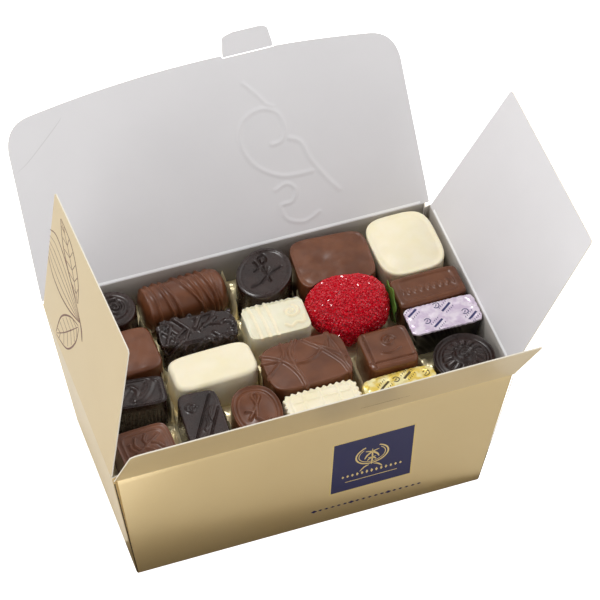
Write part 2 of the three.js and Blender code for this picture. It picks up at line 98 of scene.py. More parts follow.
# ---------------------------------------------------------------- colours and nodes


def linear(code: str) -> tuple[float, float, float, float]:
    """Turn an sRGB hex colour into linear RGBA.

    Args:
        code: six hex digits.

    Returns:
        The linear colour with full alpha.
    """
    values = [int(code[i:i + 2], 16) / 255 for i in (0, 2, 4)]
    low = [v / 12.92 if v <= 0.04045 else ((v + 0.055) / 1.055) ** 2.4 for v in values]
    return (*low, 1.0)


def add(tree: bpy.types.NodeTree, kind: str, settings: dict | None = None,
        links: dict | None = None) -> bpy.types.Node:
    """Add one node, set its properties and input values, and link its inputs.

    Args:
        tree: the node tree.
        kind: the node's type name.
        settings: property names, or input names or numbers, with their values.
        links: input names or numbers with the output socket that feeds each.

    Returns:
        The new node.
    """
    made = tree.nodes.new(kind)
    for key, value in (settings or {}).items():
        if isinstance(key, str) and hasattr(made, key):
            setattr(made, key, value)
        else:
            made.inputs[key].default_value = value
    for key, socket in (links or {}).items():
        tree.links.new(socket, made.inputs[key])
    return made


def blank_material(name: str, settings: dict[str, object]) \
        -> tuple[bpy.types.Material, bpy.types.NodeTree, bpy.types.Node]:
    """Start a material with a Principled shader.

    Args:
        name: the material's name.
        settings: the shader's input names with their values.

    Returns:
        The material, its tree and its Principled node.
    """
    material = bpy.data.materials.new(name)
    material.use_nodes = True
    tree = material.node_tree
    shader = tree.nodes["Principled BSDF"]
    for key, value in settings.items():
        shader.inputs[key].default_value = value
    return material, tree, shader


def place_on_object(tree: bpy.types.NodeTree) -> bpy.types.NodeSocket:
    """The Object coordinates of the piece, in metres."""
    return add(tree, "ShaderNodeTexCoord").outputs["Object"]


def cloud(tree: bpy.types.NodeTree, place: bpy.types.NodeSocket, size: float, detail: float,
          colours: tuple[str, str], span: tuple[float, float] | None = None) -> None:
    """Blend two colours in soft clouds over a piece.

    Args:
        tree: the material's tree.
        place: where on the piece.
        size: the clouds' size, in millimetres.
        detail: the noise's detail.
        colours: the two colours, as hex codes.
        span: the noise's values between which they blend, or the whole range.
    """
    noise = add(tree, "ShaderNodeTexNoise", {"Scale": 1 / (size * MM), "Detail": detail}, {"Vector": place})
    first, second = map(linear, colours)
    if span:
        blend = add(tree, "ShaderNodeValToRGB", {}, {"Fac": noise.outputs["Fac"]})
        for stop, at, colour in zip(blend.color_ramp.elements, span, (first, second)):
            stop.position, stop.color = at, colour
    else:
        blend = add(tree, "ShaderNodeMix", {"data_type": "RGBA", 6: first, 7: second}, {0: noise.outputs["Fac"]})
    tree.links.new(blend.outputs[0 if span else 2], tree.nodes["Principled BSDF"].inputs["Base Color"])


# ---------------------------------------------------------------- finishes


@dataclass(frozen=True)
class Chocolate:
    """Tempered chocolate, moulded: a satin skin that is glossier on its ridges.

    Faint cloudy colour, fine pores and a thin waxy coat are what the eye sees.
    """

    name: str
    body: str
    deep: str
    rough: float = 0.42
    coat: float = 0.12
    glow: float = 0.0

    def build(self) -> bpy.types.Material:
        """Build the material.

        Returns:
            The material.
        """
        settings = {"IOR": 1.46, "Coat Weight": self.coat, "Coat Roughness": 0.32}
        if self.glow:
            settings |= {"Subsurface Weight": self.glow, "Subsurface Radius": (1.0, 0.8, 0.45),
                         "Subsurface Scale": 1.6 * MM}
        material, tree, shader = blank_material(self.name, settings)
        place = place_on_object(tree)
        cloud(tree, place, 9, 3.0, (self.deep, self.body), (0.35, 0.62))
        skin = add(tree, "ShaderNodeTexNoise", {"Scale": 1 / (2.2 * MM), "Detail": 4.0}, {"Vector": place})
        sheen = add(tree, "ShaderNodeMapRange",
                    {"From Min": 0.3, "From Max": 0.7, "To Min": self.rough - 0.06,
                     "To Max": self.rough + 0.08}, {"Value": skin.outputs["Fac"]})
        tree.links.new(sheen.outputs["Result"], shader.inputs["Roughness"])
        pores = add(tree, "ShaderNodeTexNoise", {"Scale": 1 / (0.5 * MM), "Detail": 2.0}, {"Vector": place})
        bump = add(tree, "ShaderNodeBump", {"Strength": 0.12, "Distance": 0.1 * MM},
                   {"Height": pores.outputs["Fac"]})
        tree.links.new(bump.outputs["Normal"], shader.inputs["Normal"])
        return material


MILK = Chocolate("milk chocolate, moulded", "6f4126", "5e341c", rough=0.34, coat=0.15)
DARK = Chocolate("dark chocolate, moulded", "2b1812", "1f100b", rough=0.28, coat=0.2)
IVORY = Chocolate("white chocolate, enrobed", "f6ecd0", "f3e8c6", rough=0.42, coat=0.08, glow=0.2)
WHITE = Chocolate("white chocolate, moulded", "efead2", "e8e2c6", rough=0.45, coat=0.08, glow=0.25)


@dataclass(frozen=True)
class Card:
    """Folding box board, offset printed: a printed or bare face with a fine paper tooth."""

    name: str
    face: str
    shade: str
    metal: float = 0.0
    rough: float = 0.6
    tooth: float = 0.15
    varnish: float = 0.0

    def build(self) -> bpy.types.Material:
        """Build the material.

        Returns:
            The material.
        """
        material, tree, shader = blank_material(self.name, {
            "Metallic": self.metal, "Roughness": self.rough, "Coat Weight": self.varnish, "Coat Roughness": 0.3})
        place = place_on_object(tree)
        cloud(tree, place, 30, 4.0, (self.shade, self.face))
        fibre = add(tree, "ShaderNodeTexNoise", {"Scale": 1 / (0.6 * MM), "Detail": 3.0}, {"Vector": place})
        bump = add(tree, "ShaderNodeBump", {"Strength": self.tooth, "Distance": 0.05 * MM},
                   {"Height": fibre.outputs["Fac"]})
        tree.links.new(bump.outputs["Normal"], shader.inputs["Normal"])
        return material


GOLD_PRINT = Card("folding board, gold printed", "e0c996", "dac18c", metal=0.7, rough=0.36, varnish=0.9)
BARE_BOARD = Card("folding board, white lined", "dcdadb", "d6d4d5", rough=0.7)
# The tray's inside: white-lined board painted grey for the shade that falls inside the tray.
SHADED_INSIDE_BOARD = Card("folding board, grey lined", "bdb7b0", "b5afa8", rough=0.75)
CUT_EDGE = Card("folding board, cut edge", "e6dfd0", "dcd4c4", rough=0.8)
NAVY_PRINT = Card("folding board, navy printed", "12144a", "101242", rough=0.45, tooth=0.1)
PALE_GOLD = Card("folding board, pale gold printed", "e3cb8e", "dcc483", metal=0.4, rough=0.4)
BROWN_LINE = Card("folding board, brown line print", "76554a", "7f6055", rough=0.6)
SCORE_LINE = Card("folding board, scored", "8f7a54", "83704c", rough=0.8)
# Painted shade: the grey line of the crease in the lid's white inner face.
CREASE_SHADE_BOARD = Card("folding board, creased", "cfcdcd", "c9c7c7", rough=0.8)
SEAM_LINE = Card("folding board, dark seam", "3f301c", "34270f", rough=0.8)
# A painted highlight: the bright line where the board's fold catches the light.
FOLD_HIGHLIGHT_BOARD = Card("folding board, folded edge", "fdfdfd", "f6f6f6", rough=0.7)


@dataclass(frozen=True)
class CrumpledGold:
    """Metallised paper, crumpled by hand: mirror-like facets in warm gold."""

    name: str = "metallised gold paper, crumpled"

    def build(self) -> bpy.types.Material:
        """Build the material.

        Returns:
            The material.
        """
        material, tree, shader = blank_material(self.name, {
            "Base Color": linear("fff0c2"), "Metallic": 0.3, "Roughness": 0.32})
        place = place_on_object(tree)
        folds = add(tree, "ShaderNodeTexVoronoi", {"Scale": 1 / (3 * MM)}, {"Vector": place})
        bump = add(tree, "ShaderNodeBump", {"Strength": 0.5, "Distance": 0.3 * MM},
                   {"Height": folds.outputs["Distance"]})
        tree.links.new(bump.outputs["Normal"], shader.inputs["Normal"])
        return material


@dataclass(frozen=True)
class Foil:
    """Thin confectionery foil, lacquered: a coloured metal sheen with sharp fine wrinkles."""

    name: str
    ground: str
    pale: str
    metal: float = 0.45
    rough: float = 0.3

    def build(self) -> bpy.types.Material:
        """Build the material.

        Returns:
            The material.
        """
        material, tree, shader = blank_material(self.name, {"Metallic": self.metal, "Roughness": self.rough})
        place = place_on_object(tree)
        cloud(tree, place, 4, 2.0, (self.ground, self.pale), (0.4, 0.6))
        wrinkle = add(tree, "ShaderNodeTexVoronoi", {"feature": "DISTANCE_TO_EDGE", "Scale": 1 / (3.4 * MM)},
                      {"Vector": place})
        bump = add(tree, "ShaderNodeBump", {"Strength": 0.3, "Distance": 0.3 * MM},
                   {"Height": wrinkle.outputs["Distance"]})
        tree.links.new(bump.outputs["Normal"], shader.inputs["Normal"])
        return material


LILAC = Foil("aluminium foil, lilac lacquered", "dac8de", "f2e6f2", metal=0.3)
# Near black, for the lilac piece's sides: darker than its top.
LILAC_DARK_SIDES = Foil("aluminium foil, aubergine lacquered", "0c080c", "1a1218", metal=0.3)
YELLOW = Foil("aluminium foil, yellow lacquered", "f0d060", "fdf0b4", metal=0.4)
FOIL_INK = Card("foil, navy line print", "35346a", "2c2b5e", rough=0.5, tooth=0.05)
DARK_INK = Card("foil, brown line print", "5a4a20", "4a3b18", rough=0.5, tooth=0.05)


@dataclass(frozen=True)
class SugarJelly:
    """Red sugar glaze under its crystals: saturated and damp."""

    name: str = "red sugar paste, coloured"
    body: str = "c40f26"
    deep: str = "9a0a1e"

    def build(self) -> bpy.types.Material:
        """Build the material.

        Returns:
            The material.
        """
        material, tree, _ = blank_material(self.name, {
            "Roughness": 0.35, "Subsurface Weight": 0.2, "Subsurface Scale": 1.2 * MM})
        cloud(tree, place_on_object(tree), 1.6, 3.0, (self.deep, self.body))
        return material


@dataclass(frozen=True)
class SugarCrystal:
    """Coarse sugar grains, dyed red: glassy facets, with pink-white glints painted into their colour."""

    name: str = "sugar crystals, dyed red"
    body: str = "cd0b22"
    # Pale pink-white: painted glints.
    pale: str = "f79aa4"

    def build(self) -> bpy.types.Material:
        """Build the material, each grain a little lighter or darker, the palest painted pink-white as glints.

        Returns:
            The material.
        """
        material, tree, _ = blank_material(self.name, {"Roughness": 0.16, "IOR": 1.5})
        cloud(tree, place_on_object(tree), 0.9, 1.0, (self.body, self.pale), (0.64, 0.88))
        return material


@dataclass(frozen=True)
class SugarLeaf:
    """A thin leaf of green sugar paste, rolled and cut."""

    name: str = "sugar paste leaf, green"

    def build(self) -> bpy.types.Material:
        """Build the material.

        Returns:
            The material.
        """
        material, tree, _ = blank_material(self.name, {"Roughness": 0.5})
        cloud(tree, place_on_object(tree), 3, 3.0, ("3f6b22", "6f9a3c"))
        return material


class Dresser:
    """Builds each finish once and hands it out."""

    def __init__(self) -> None:
        """Start with nothing built."""
        self.built: dict[str, bpy.types.Material] = {}

    def material(self, finish: object) -> bpy.types.Material:
        """The material of a finish, built on first use.

        Args:
            finish: a finish with a name and a build method.

        Returns:
            The material.
        """
        if finish.name not in self.built:
            self.built[finish.name] = finish.build()
        return self.built[finish.name]


DRESSER = Dresser()


# ---------------------------------------------------------------- meshes


def linked(name: str, data: bpy.types.ID) -> bpy.types.Object:
    """A new object in the scene."""
    made = bpy.data.objects.new(name, data)
    bpy.context.scene.collection.objects.link(made)
    return made


class Form:
    """Points and faces of one piece, gathered in millimetres, with a material for each face."""

    def __init__(self) -> None:
        """Start empty."""
        self.points: list[np.ndarray] = []
        self.faces: list[list[int]] = []
        self.slots: list[int] = []
        self.count = 0

    def sheet(self, grid: np.ndarray, wrap: bool = False, slot: int = 0,
              column_slots: np.ndarray | None = None) -> None:
        """Add a grid of points as quads.

        Args:
            grid: rows by columns by 3, in millimetres; rows run up, columns counter-clockwise.
            wrap: whether the last column joins the first.
            slot: the material slot of its faces.
            column_slots: a slot for each column of faces, in place of one for all.
        """
        rows, columns = grid.shape[:2]
        index = np.arange(rows * columns).reshape(rows, columns) + self.count
        right = np.roll(index, -1, axis=1)
        if not wrap:
            index, right = index[:, :-1], right[:, :-1]
        quads = np.stack([index[:-1], right[:-1], right[1:], index[1:]], axis=-1)
        chosen = np.full(quads.shape[1], slot) if column_slots is None else column_slots
        self.points.append(grid.reshape(-1, 3))
        self.faces.extend(quads.reshape(-1, 4).tolist())
        self.slots.extend(np.tile(chosen, quads.shape[0]).tolist())
        self.count += rows * columns

    def fan(self, ring: np.ndarray, tip: tuple[float, float, float], slot: int = 0) -> None:
        """Close a ring of points with triangles to one point.

        Args:
            ring: the ring's points, in millimetres.
            tip: the point they meet in.
            slot: the material slot of its faces.
        """
        first = self.count
        size = len(ring)
        self.points.append(np.vstack([ring, tip]))
        self.faces.extend([first + i, first + (i + 1) % size, first + size] for i in range(size))
        self.slots.extend([slot] * size)
        self.count += size + 1

    def build(self, name: str, finishes: list[object], weld_mm: float = 0.004,
              sharp: float = 180.0) -> bpy.types.Object:
        """Make the object: points welded, faces out, dressed.

        Args:
            name: the piece's name.
            finishes: the finish of each material slot.
            weld_mm: how near two points are to be one.
            sharp: the angle in degrees past which an edge is left hard.

        Returns:
            The object, with its place in its mesh.
        """
        mesh = bpy.data.meshes.new(name)
        mesh.from_pydata((np.concatenate(self.points) * MM).tolist(), [], self.faces)
        mesh.polygons.foreach_set("material_index", np.array(self.slots, dtype=np.int32))
        for finish in finishes:
            mesh.materials.append(DRESSER.material(finish))
        work = bmesh.new()
        work.from_mesh(mesh)
        bmesh.ops.remove_doubles(work, verts=work.verts, dist=weld_mm * MM)
        bmesh.ops.dissolve_degenerate(work, edges=work.edges, dist=weld_mm * MM / 4)
        bmesh.ops.recalc_face_normals(work, faces=work.faces)
        work.to_mesh(mesh)
        work.free()
        mesh.polygons.foreach_set("use_smooth", np.ones(len(mesh.polygons), dtype=bool))
        if sharp < 180:
            mesh.set_sharp_from_angle(angle=math.radians(sharp))
        return linked(name, mesh)


def settle(piece: bpy.types.Object, body: str, slot: str, *nodes: str) -> bpy.types.Object:
    """Tie a finished piece to the frame.

    Args:
        piece: the piece.
        body: the body that it rides on.
        slot: the record's material slot; not used.
        nodes: the nodes that it stands for.

    Returns:
        The piece.
    """
    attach(piece, body)
    if nodes:
        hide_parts(*nodes)
    LOG.info("%s: %d faces on %s", piece.name, len(piece.data.polygons), body)
    return piece


def wobble(points: np.ndarray, seed: int, scale: float, waves: int = 7) -> np.ndarray:
    """Smooth seeded noise as a sum of waves in random directions.

    Args:
        points: any number of rows of coordinates, in millimetres.
        seed: the seed.
        scale: the size of its swells, in millimetres.
        waves: how many waves are summed.

    Returns:
        One value a point, about -1 to 1.
    """
    rng = np.random.default_rng(seed)
    total = np.zeros(points.shape[:-1])
    for _ in range(waves):
        direction = rng.normal(size=points.shape[-1])
        direction *= rng.uniform(0.6, 1.5) * 2 * math.pi / (scale * np.linalg.norm(direction))
        total += np.sin(points @ direction + rng.uniform(0, 2 * math.pi))
    return total / math.sqrt(waves) / 1.4


def spin(degrees: float) -> np.ndarray:
    """The matrix that turns rows of x and y about Z."""
    turn = math.radians(degrees)
    return np.array([[math.cos(turn), math.sin(turn)], [-math.sin(turn), math.cos(turn)]])


def node_middle(node: str) -> np.ndarray:
    """The middle of a node's box seen from above, and the height of its foot, in millimetres."""
    low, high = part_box(node)
    return np.array([(low.x + high.x) / 2, (low.y + high.y) / 2, low.z]) / MM


def stroke(x: np.ndarray, y: np.ndarray, line: np.ndarray, width: float,
           sharp: float = 2.0) -> np.ndarray:
    """How strongly each point lies on a line drawn on a face: 1 on it, falling to 0.

    Args:
        x: the points' x, in millimetres.
        y: the points' y.
        line: the line's corners, one row each.
        width: the line's full width at half height.
        sharp: 2 for a soft ridge, more for a flat-topped one.

    Returns:
        One value a point.
    """
    best = np.full(x.shape, 1e9)
    for (ax, ay), (bx, by) in zip(line[:-1], line[1:]):
        dx, dy = bx - ax, by - ay
        span = dx * dx + dy * dy or 1e-9
        t = np.clip(((x - ax) * dx + (y - ay) * dy) / span, 0, 1)
        best = np.minimum(best, (x - ax - t * dx) ** 2 + (y - ay - t * dy) ** 2)
    return np.exp(-math.log(2) * (np.sqrt(best) / (width / 2)) ** sharp)


def smooth_line(points: list[tuple[float, float]], steps: int = 8) -> np.ndarray:
    """A smooth line through given points (Catmull-Rom).

    Args:
        points: the points, in millimetres.
        steps: pieces between two points.

    Returns:
        The line's corners, one row each.
    """
    p = np.array([points[0], *points, points[-1]], float)
    out = []
    for a, b, c, d in zip(p[:-3], p[1:-2], p[2:-1], p[3:]):
        for t in np.linspace(0, 1, steps, endpoint=False):
            out.append(0.5 * (2 * b + (c - a) * t + (2 * a - 5 * b + 4 * c - d) * t * t
                              + (3 * b - a - 3 * c + d) * t ** 3))
    out.append(p[-1])
    return np.array(out)


def spiral(centre: tuple[float, float], start: float, end: float, turns: float,
           phase: float = 0.0, steps: int = 40) -> np.ndarray:
    """A spiral line from one radius to another.

    Args:
        centre: its middle, in millimetres.
        start: the first radius.
        end: the last radius.
        turns: how many turns, negative for clockwise.
        phase: the first angle, in radians.
        steps: its pieces.

    Returns:
        The line's corners, one row each.
    """
    t = np.linspace(0, 1, steps + 1)
    radius = start + (end - start) * t
    angle = phase + 2 * math.pi * turns * t
    return np.stack([centre[0] + radius * np.cos(angle), centre[1] + radius * np.sin(angle)], axis=1)


def stood(points: np.ndarray, node: str, degrees: float) -> np.ndarray:
    """Turn points of a sweet and set them where its node stands.

    Args:
        points: the points, in millimetres.
        node: the node.
        degrees: the turn.

    Returns:
        The points in the shared frame, in millimetres.
    """
    middle = node_middle(node)
    return np.concatenate([points[:, :2] @ spin(degrees) + middle[:2], points[:, 2:3] + middle[2]], axis=1)


# ---------------------------------------------------------------- pralines


@dataclass(frozen=True)
class Face:
    """Places on a praline's face, in millimetres from its middle, and how near its edge each lies."""

    x: np.ndarray
    y: np.ndarray
    reach: np.ndarray | None = None

    def dome(self) -> np.ndarray:
        """1 in the middle, falling to 0 at the edge."""
        return 1 - self.reach ** 2

    def settled(self, seed: int, scale: float) -> np.ndarray:
        """The unevenness of a skin that has run and set."""
        return wobble(np.stack([self.x, self.y], axis=-1), seed, scale)

    def frame(self, at: float, width: float) -> np.ndarray:
        """A fine line that runs round the face at one share of its reach."""
        return np.exp(-((self.reach - at) / width) ** 2)

    def stroke(self, line: np.ndarray, width: float, sharp: float = 2.0) -> np.ndarray:
        """How strongly each place lies on a line."""
        return stroke(self.x, self.y, line, width, sharp)

    def strokes(self, lines: list[list[tuple[float, float]]], width: float, sharp: float = 2.0,
                steps: int = 8) -> np.ndarray:
        """How strongly each place lies on any of some smooth lines.

        Args:
            lines: the points that each line runs through.
            width: the lines' width.
            sharp: 2 for soft ridges, more for flat-topped ones.
            steps: pieces between two points.

        Returns:
            One value a place, 0 to 1.
        """
        return np.max([self.stroke(smooth_line(points, steps), width, sharp) for points in lines], axis=0)


@dataclass
class Praline:
    """A moulded praline that stands for one node: a superellipse block with a relief on its face."""

    node: str
    size: tuple[float, float]
    tall: float
    turn: float = 0.0
    power: float = 5.0
    draft: float = 0.4
    edge: float = 1.4
    finish: object = MILK
    slot: str = "milk_chocolate"
    seed: int = 1
    uneven: float = 0.12
    step: float = 0.34
    bends: int = 8
    levels: int = 24
    others: tuple[object, ...] = ()

    def tint(self, form: Form) -> None:
        """Give some faces another finish; none unless a kind overrides it."""

    def relief(self, face: Face) -> np.ndarray:
        """The face's height over its plane, in millimetres; flat unless a kind overrides it."""
        return np.zeros_like(face.x)

    def ripple(self, angle: np.ndarray, z: np.ndarray) -> np.ndarray:
        """How far the side stands proud of its outline, in millimetres."""
        return np.zeros_like(angle)

    def lines(self, face: Face) -> np.ndarray:
        """The height of what lies on the face and runs on down the sides, in millimetres."""
        return np.zeros_like(face.x)

    def over(self, face: Face) -> tuple[np.ndarray, np.ndarray]:
        """How far down the side an unrolled place lies, and its place along that side."""
        past_x, past_y = np.abs(face.x) - self.size[0] / 2, np.abs(face.y) - self.size[1] / 2
        return np.maximum(past_x, past_y), np.where(past_x > past_y, face.y, face.x)

    def outline(self, u: np.ndarray, v: np.ndarray, inset: float | np.ndarray, z: float) -> np.ndarray:
        """Points of the block from grid places.

        Args:
            u: -1 to 1 along the praline.
            v: -1 to 1 across it.
            inset: how far the outline is drawn in there.
            z: the height there.

        Returns:
            x and y, stacked last.
        """
        reach = np.maximum(np.abs(u), np.abs(v))
        safe = np.where(reach == 0, 1, reach)
        spread = np.abs(u / safe) ** self.power + np.abs(v / safe) ** self.power
        scale = np.where(reach == 0, 0, np.where(spread == 0, 1, spread) ** (-1 / self.power))
        half = np.array(self.size) / 2
        angle = np.arctan2(v * half[1], u * half[0])
        bulge = self.ripple(angle, np.full(u.shape, z)) - inset
        return np.stack([u * scale * (half[0] + bulge), v * scale * (half[1] + bulge)], axis=-1)

    def skin(self) -> Form:
        """The praline's points: a side of rings with a rounded upper edge, and a face.

        Returns:
            The closed form.
        """
        columns = max(8, round(self.size[0] / self.step))
        rows = max(8, round(self.size[1] / self.step))
        us = np.linspace(-1, 1, columns + 1)
        vs = np.linspace(-1, 1, rows + 1)
        u = np.concatenate([us[:-1], np.ones(rows), us[:0:-1], -np.ones(rows)])
        v = np.concatenate([-np.ones(columns), vs[:-1], np.ones(columns), vs[:0:-1]])
        away = np.stack([np.where(np.abs(u) >= 1, u, 0), np.where(np.abs(v) >= 1, v, 0)], axis=-1)
        bends = np.linspace(0, math.pi / 2, self.bends)[1:-1]
        rises = np.linspace(0, 1, self.levels)
        profile = [(-self.draft * (1 - t), (self.tall - self.edge) * t, 0.0) for t in rises]
        profile += [(self.edge * (1 - math.cos(a)), self.tall - self.edge * (1 - math.sin(a)), a) for a in bends]
        rings = []
        for inset, z, lean in profile:
            spot = self.outline(u, v, inset, z)
            laid = self.lines(Face(*(spot + away * (self.tall - z)).T))
            spot = self.outline(u, v, inset - laid * math.cos(lean), z)
            rings.append(np.concatenate([spot, (z + laid * math.sin(lean))[:, None]], axis=1))
        spot = self.outline(u, v, self.edge, self.tall)
        edge = Face(*spot.T, np.ones(u.shape))
        relief = self.relief(edge)
        soft = 2 * self.edge / (min(self.size) / 2 - self.edge)
        share = (np.sin(bends) ** 3 * (1 + soft * np.cos(bends)))[:, None]
        for ring, part in zip(rings[-len(bends):], share):
            ring[:, 2] += relief * part
        level = self.tall + relief + self.lines(edge)
        rings.append(np.concatenate([spot, level[:, None]], axis=1))
        form = Form()
        form.sheet(np.array(rings), wrap=True)
        gu, gv = np.meshgrid(us, vs)
        spot = self.outline(gu, gv, self.edge, self.tall)
        face = Face(spot[..., 0], spot[..., 1], np.maximum(np.abs(gu), np.abs(gv)))
        level = self.tall + self.relief(face) + self.lines(face)
        form.sheet(np.concatenate([spot, level[..., None]], axis=-1))
        form.fan(rings[0][::-1], (0, 0, 0))
        return form

    def warp(self, points: np.ndarray) -> np.ndarray:
        """Hand-made unevenness: the whole praline swells and leans a little."""
        sway = np.stack([wobble(points, self.seed + i, 26) for i in range(3)], axis=-1)
        return points + sway * self.uneven * np.clip(points[:, 2:3] / self.tall, 0, 1)

    def stand(self, points: np.ndarray) -> np.ndarray:
        """Turn points of the praline and set them where its node stands."""
        return stood(points, self.node, self.turn)

    def build(self) -> bpy.types.Object:
        """Build, place and dress the praline, and let it stand for its node.

        Returns:
            The praline.
        """
        form = self.skin()
        self.tint(form)
        form.points = [self.stand(self.warp(points)) for points in form.points]
        piece = form.build(f"{self.node}_praline", [self.finish, *self.others])
        return settle(piece, "tray", self.slot, self.node)


@dataclass
class DarkDisc(Praline):
    """A round dark praline: a broad smooth rim round a well with a curl and a leaf."""

    def relief(self, face: Face) -> np.ndarray:
        """The rim, the curl and the leaf.

        Args:
            face: places on the face.

        Returns:
            Heights in millimetres.
        """
        rim = 0.9 / (1 + np.exp(-(face.reach - 0.7) * 34)) - 0.35 * np.clip(face.reach - 0.85, 0, 1) / 0.15
        curl = face.stroke(spiral((0.8, 0.2), 4.4, 0.5, -1.6, 0.6), 1.2, 3)
        stem = face.strokes([[(-5.4, -1.6), (-4.6, 2.2), (-1.4, 4.8), (2.6, 5.0)]], 1.2, 3)
        return rim + 1.2 * np.maximum(curl, stem)


@dataclass
class MilkPlain(Praline):
    """A plain milk praline, enrobed: soft corners and a slightly domed face."""

    def relief(self, face: Face) -> np.ndarray:
        """A low dome with a settled, uneven skin."""
        return 0.6 * face.dome() + 0.14 * face.settled(12, 9)


@dataclass
class DarkScroll(Praline):
    """A dark bar: a rim round a broad S-shaped scroll, and flutes below a smooth band."""

    def relief(self, face: Face) -> np.ndarray:
        """The rim, the scroll and its two curls.

        Args:
            face: places on the face.

        Returns:
            Heights in millimetres.
        """
        rim = 0.7 * face.frame(0.93, 0.045)
        leaf = face.strokes([[(1.0, -4.6), (4.6, -3.0), (7.6, 0.6), (9.4, 4.6)]], 3.4, 3)
        scroll = face.strokes([[(-6.6, -3.6), (-3.4, 1.4), (0.2, 3.6), (2.6, 0.8), (1.0, -4.6)]], 1.7)
        left = face.stroke(spiral((-8.6, -0.2), 3.9, 0.5, 1.3, -0.9), 1.2)
        return rim + 1.1 * np.maximum(leaf, np.maximum(scroll, left)) - 1.0

    def lines(self, face: Face) -> np.ndarray:
        """Flutes below the band under the rim.

        Args:
            face: places on the face.

        Returns:
            Heights in millimetres.
        """
        down, along = self.over(face)
        flutes = 0.5 + 0.5 * np.cos(2 * math.pi * along / 1.8)
        return -0.4 * flutes * np.clip((down - 5.0) / 0.6, 0, 1)


@dataclass
class MilkRelief(Praline):
    """A square milk praline: a raised oval field with a generic sprig."""

    def relief(self, face: Face) -> np.ndarray:
        """A low swelling, a sprig of strokes and a border.

        Args:
            face: places on the face.

        Returns:
            Heights in millimetres.
        """
        swell = 0.9 * np.exp(-((face.x / 8.6) ** 2 + (face.y / 7.4) ** 2) ** 2)
        strokes = [
            [(-7.5, -4.5), (-2, -1.5), (2, 1.6), (7.2, 5.2)],
            [(-2.4, -1.6), (-4.8, 1.8), (-3.6, 6.0)],
            [(0.8, 0.6), (0.0, 3.8), (1.8, 7.0)],
            [(-1.2, -1.0), (2.2, -2.4), (4.0, -6.0)],
            [(2.6, 2.0), (5.6, 0.4), (7.4, -2.6)],
            [(-4.4, -2.8), (-6.8, 0.2), (-7.0, 3.2)],
        ]
        sprig = face.strokes(strokes, 1.3, 3)
        border = 0.4 * face.frame(0.88, 0.05)
        return 0.6 * swell + sprig + border - 1.5


@dataclass
class DarkBark(Praline):
    """A dark bar covered in long flakes that lie across one another, over its sides too."""

    shards: int = 74

    def lines(self, face: Face) -> np.ndarray:
        """Roof-like flakes at crossing slants.

        Args:
            face: places on the face.

        Returns:
            Heights in millimetres.
        """
        rng = np.random.default_rng(35)
        level = np.zeros_like(face.x)
        for _ in range(self.shards):
            at = rng.uniform(-1, 1, 2) * (np.array(self.size) / 2 + 9)
            turn = math.radians(rng.choice([52, -48, 68, -62, 8, -14, 34]) + rng.normal(0, 7))
            along = (face.x - at[0]) * math.cos(turn) + (face.y - at[1]) * math.sin(turn)
            across = (face.y - at[1]) * math.cos(turn) - (face.x - at[0]) * math.sin(turn)
            long, wide = rng.uniform(4.2, 8.6), rng.uniform(0.8, 1.3)
            rope = np.sqrt(np.clip(1 - (across / wide) ** 2, 0, 1))
            ends = np.clip((1 - np.abs(along) / long) * 4, 0, 1)
            level = np.maximum(level, rng.uniform(0.9, 1.7) * rope * ends)
        return level - 1.1


@dataclass
class IvoryBar(Praline):
    """An ivory bar, enrobed: soft edges and a slightly domed, settled face."""

    def relief(self, face: Face) -> np.ndarray:
        """A low dome."""
        return 0.5 * face.dome() + 0.12 * face.settled(5, 10)


@dataclass
class DarkBand(Praline):
    """A dark bar: a slanting smooth band between two grooves, and a small curl behind it."""

    def relief(self, face: Face) -> np.ndarray:
        """The grooves, the band, the curl and two leaves on the band.

        Args:
            face: places on the face.

        Returns:
            Heights in millimetres.
        """
        across = face.x - 0.485 * face.y
        grooves = sum(np.exp(-((across - at) / 0.5) ** 2) for at in (-1.4, 5.2))
        band = 0.3 * np.clip(2 - np.abs(across - 1.9) / 1.6, 0, 1)
        curl = face.stroke(spiral((-4.4, 7.4), 2.6, 0.4, 1.4, 0.4), 1.0)
        leaves = [[(-1.2, -6.4), (0.8, -3.6), (1.0, 0.4)], [(3.4, -1.8), (3.0, 2.6), (4.8, 6.2)]]
        sprig = face.strokes(leaves, 0.9)
        edge = np.clip((0.97 - face.reach) * 14, 0, 1)
        return (-1.1 * grooves + band + 1.0 * np.maximum(curl, sprig)) * edge


@dataclass
class MilkEgg(Praline):
    """A domed milk egg: a border line and a ribbon that loops over its face."""

    def relief(self, face: Face) -> np.ndarray:
        """The dome, its border and the ribbon.

        Args:
            face: places on the face.

        Returns:
            Heights in millimetres.
        """
        dome = 2.6 * face.dome() - 2.6
        border = 0.4 * face.frame(0.9, 0.03)
        lines = [
            [(-4.6, -5.2), (-2.2, -2.6), (0.4, 1.8), (2.6, 6.6), (1.0, 9.4), (-0.8, 6.8), (0.0, 1.0), (-1.4, -5.6)],
            [(-5.6, -0.8), (-3.6, -1.6), (-2.2, -3.2)],
            [(-1.4, -5.6), (1.6, -8.4), (4.4, -7.0)],
        ]
        ribbon = face.strokes(lines, 1.35, 3)
        return dome + border + 1.3 * ribbon


@dataclass
class DarkOval(Praline):
    """A tall dark oval: a flat face with an engraved flourish inside a thin rim."""

    def relief(self, face: Face) -> np.ndarray:
        """A sunk field and the flourish cut into it.

        Args:
            face: places on the face.

        Returns:
            Heights in millimetres.
        """
        field = -0.3 / (1 + np.exp((face.reach - 0.9) * 60)) + 0.25 * face.frame(0.955, 0.03)
        lines = [
            [(-10.2, 2.2), (-6.6, -0.6), (-2.4, -1.8), (1.8, -3.4), (6.2, -6.2)],
            [(-3.6, -4.4), (0.2, -1.0), (3.8, 2.2), (7.8, 5.6), (10.2, 4.2), (7.6, 2.0), (3.2, 3.2)],
            [(-0.8, 4.6), (2.0, 3.8), (4.8, 6.8)],
        ]
        cut = face.strokes(lines, 1.15, 3)
        curl = face.stroke(spiral((2.6, -0.6), 2.6, 0.3, 1.2, 1.0), 0.6)
        return field - 1.3 * np.maximum(cut, 0.5 * curl)


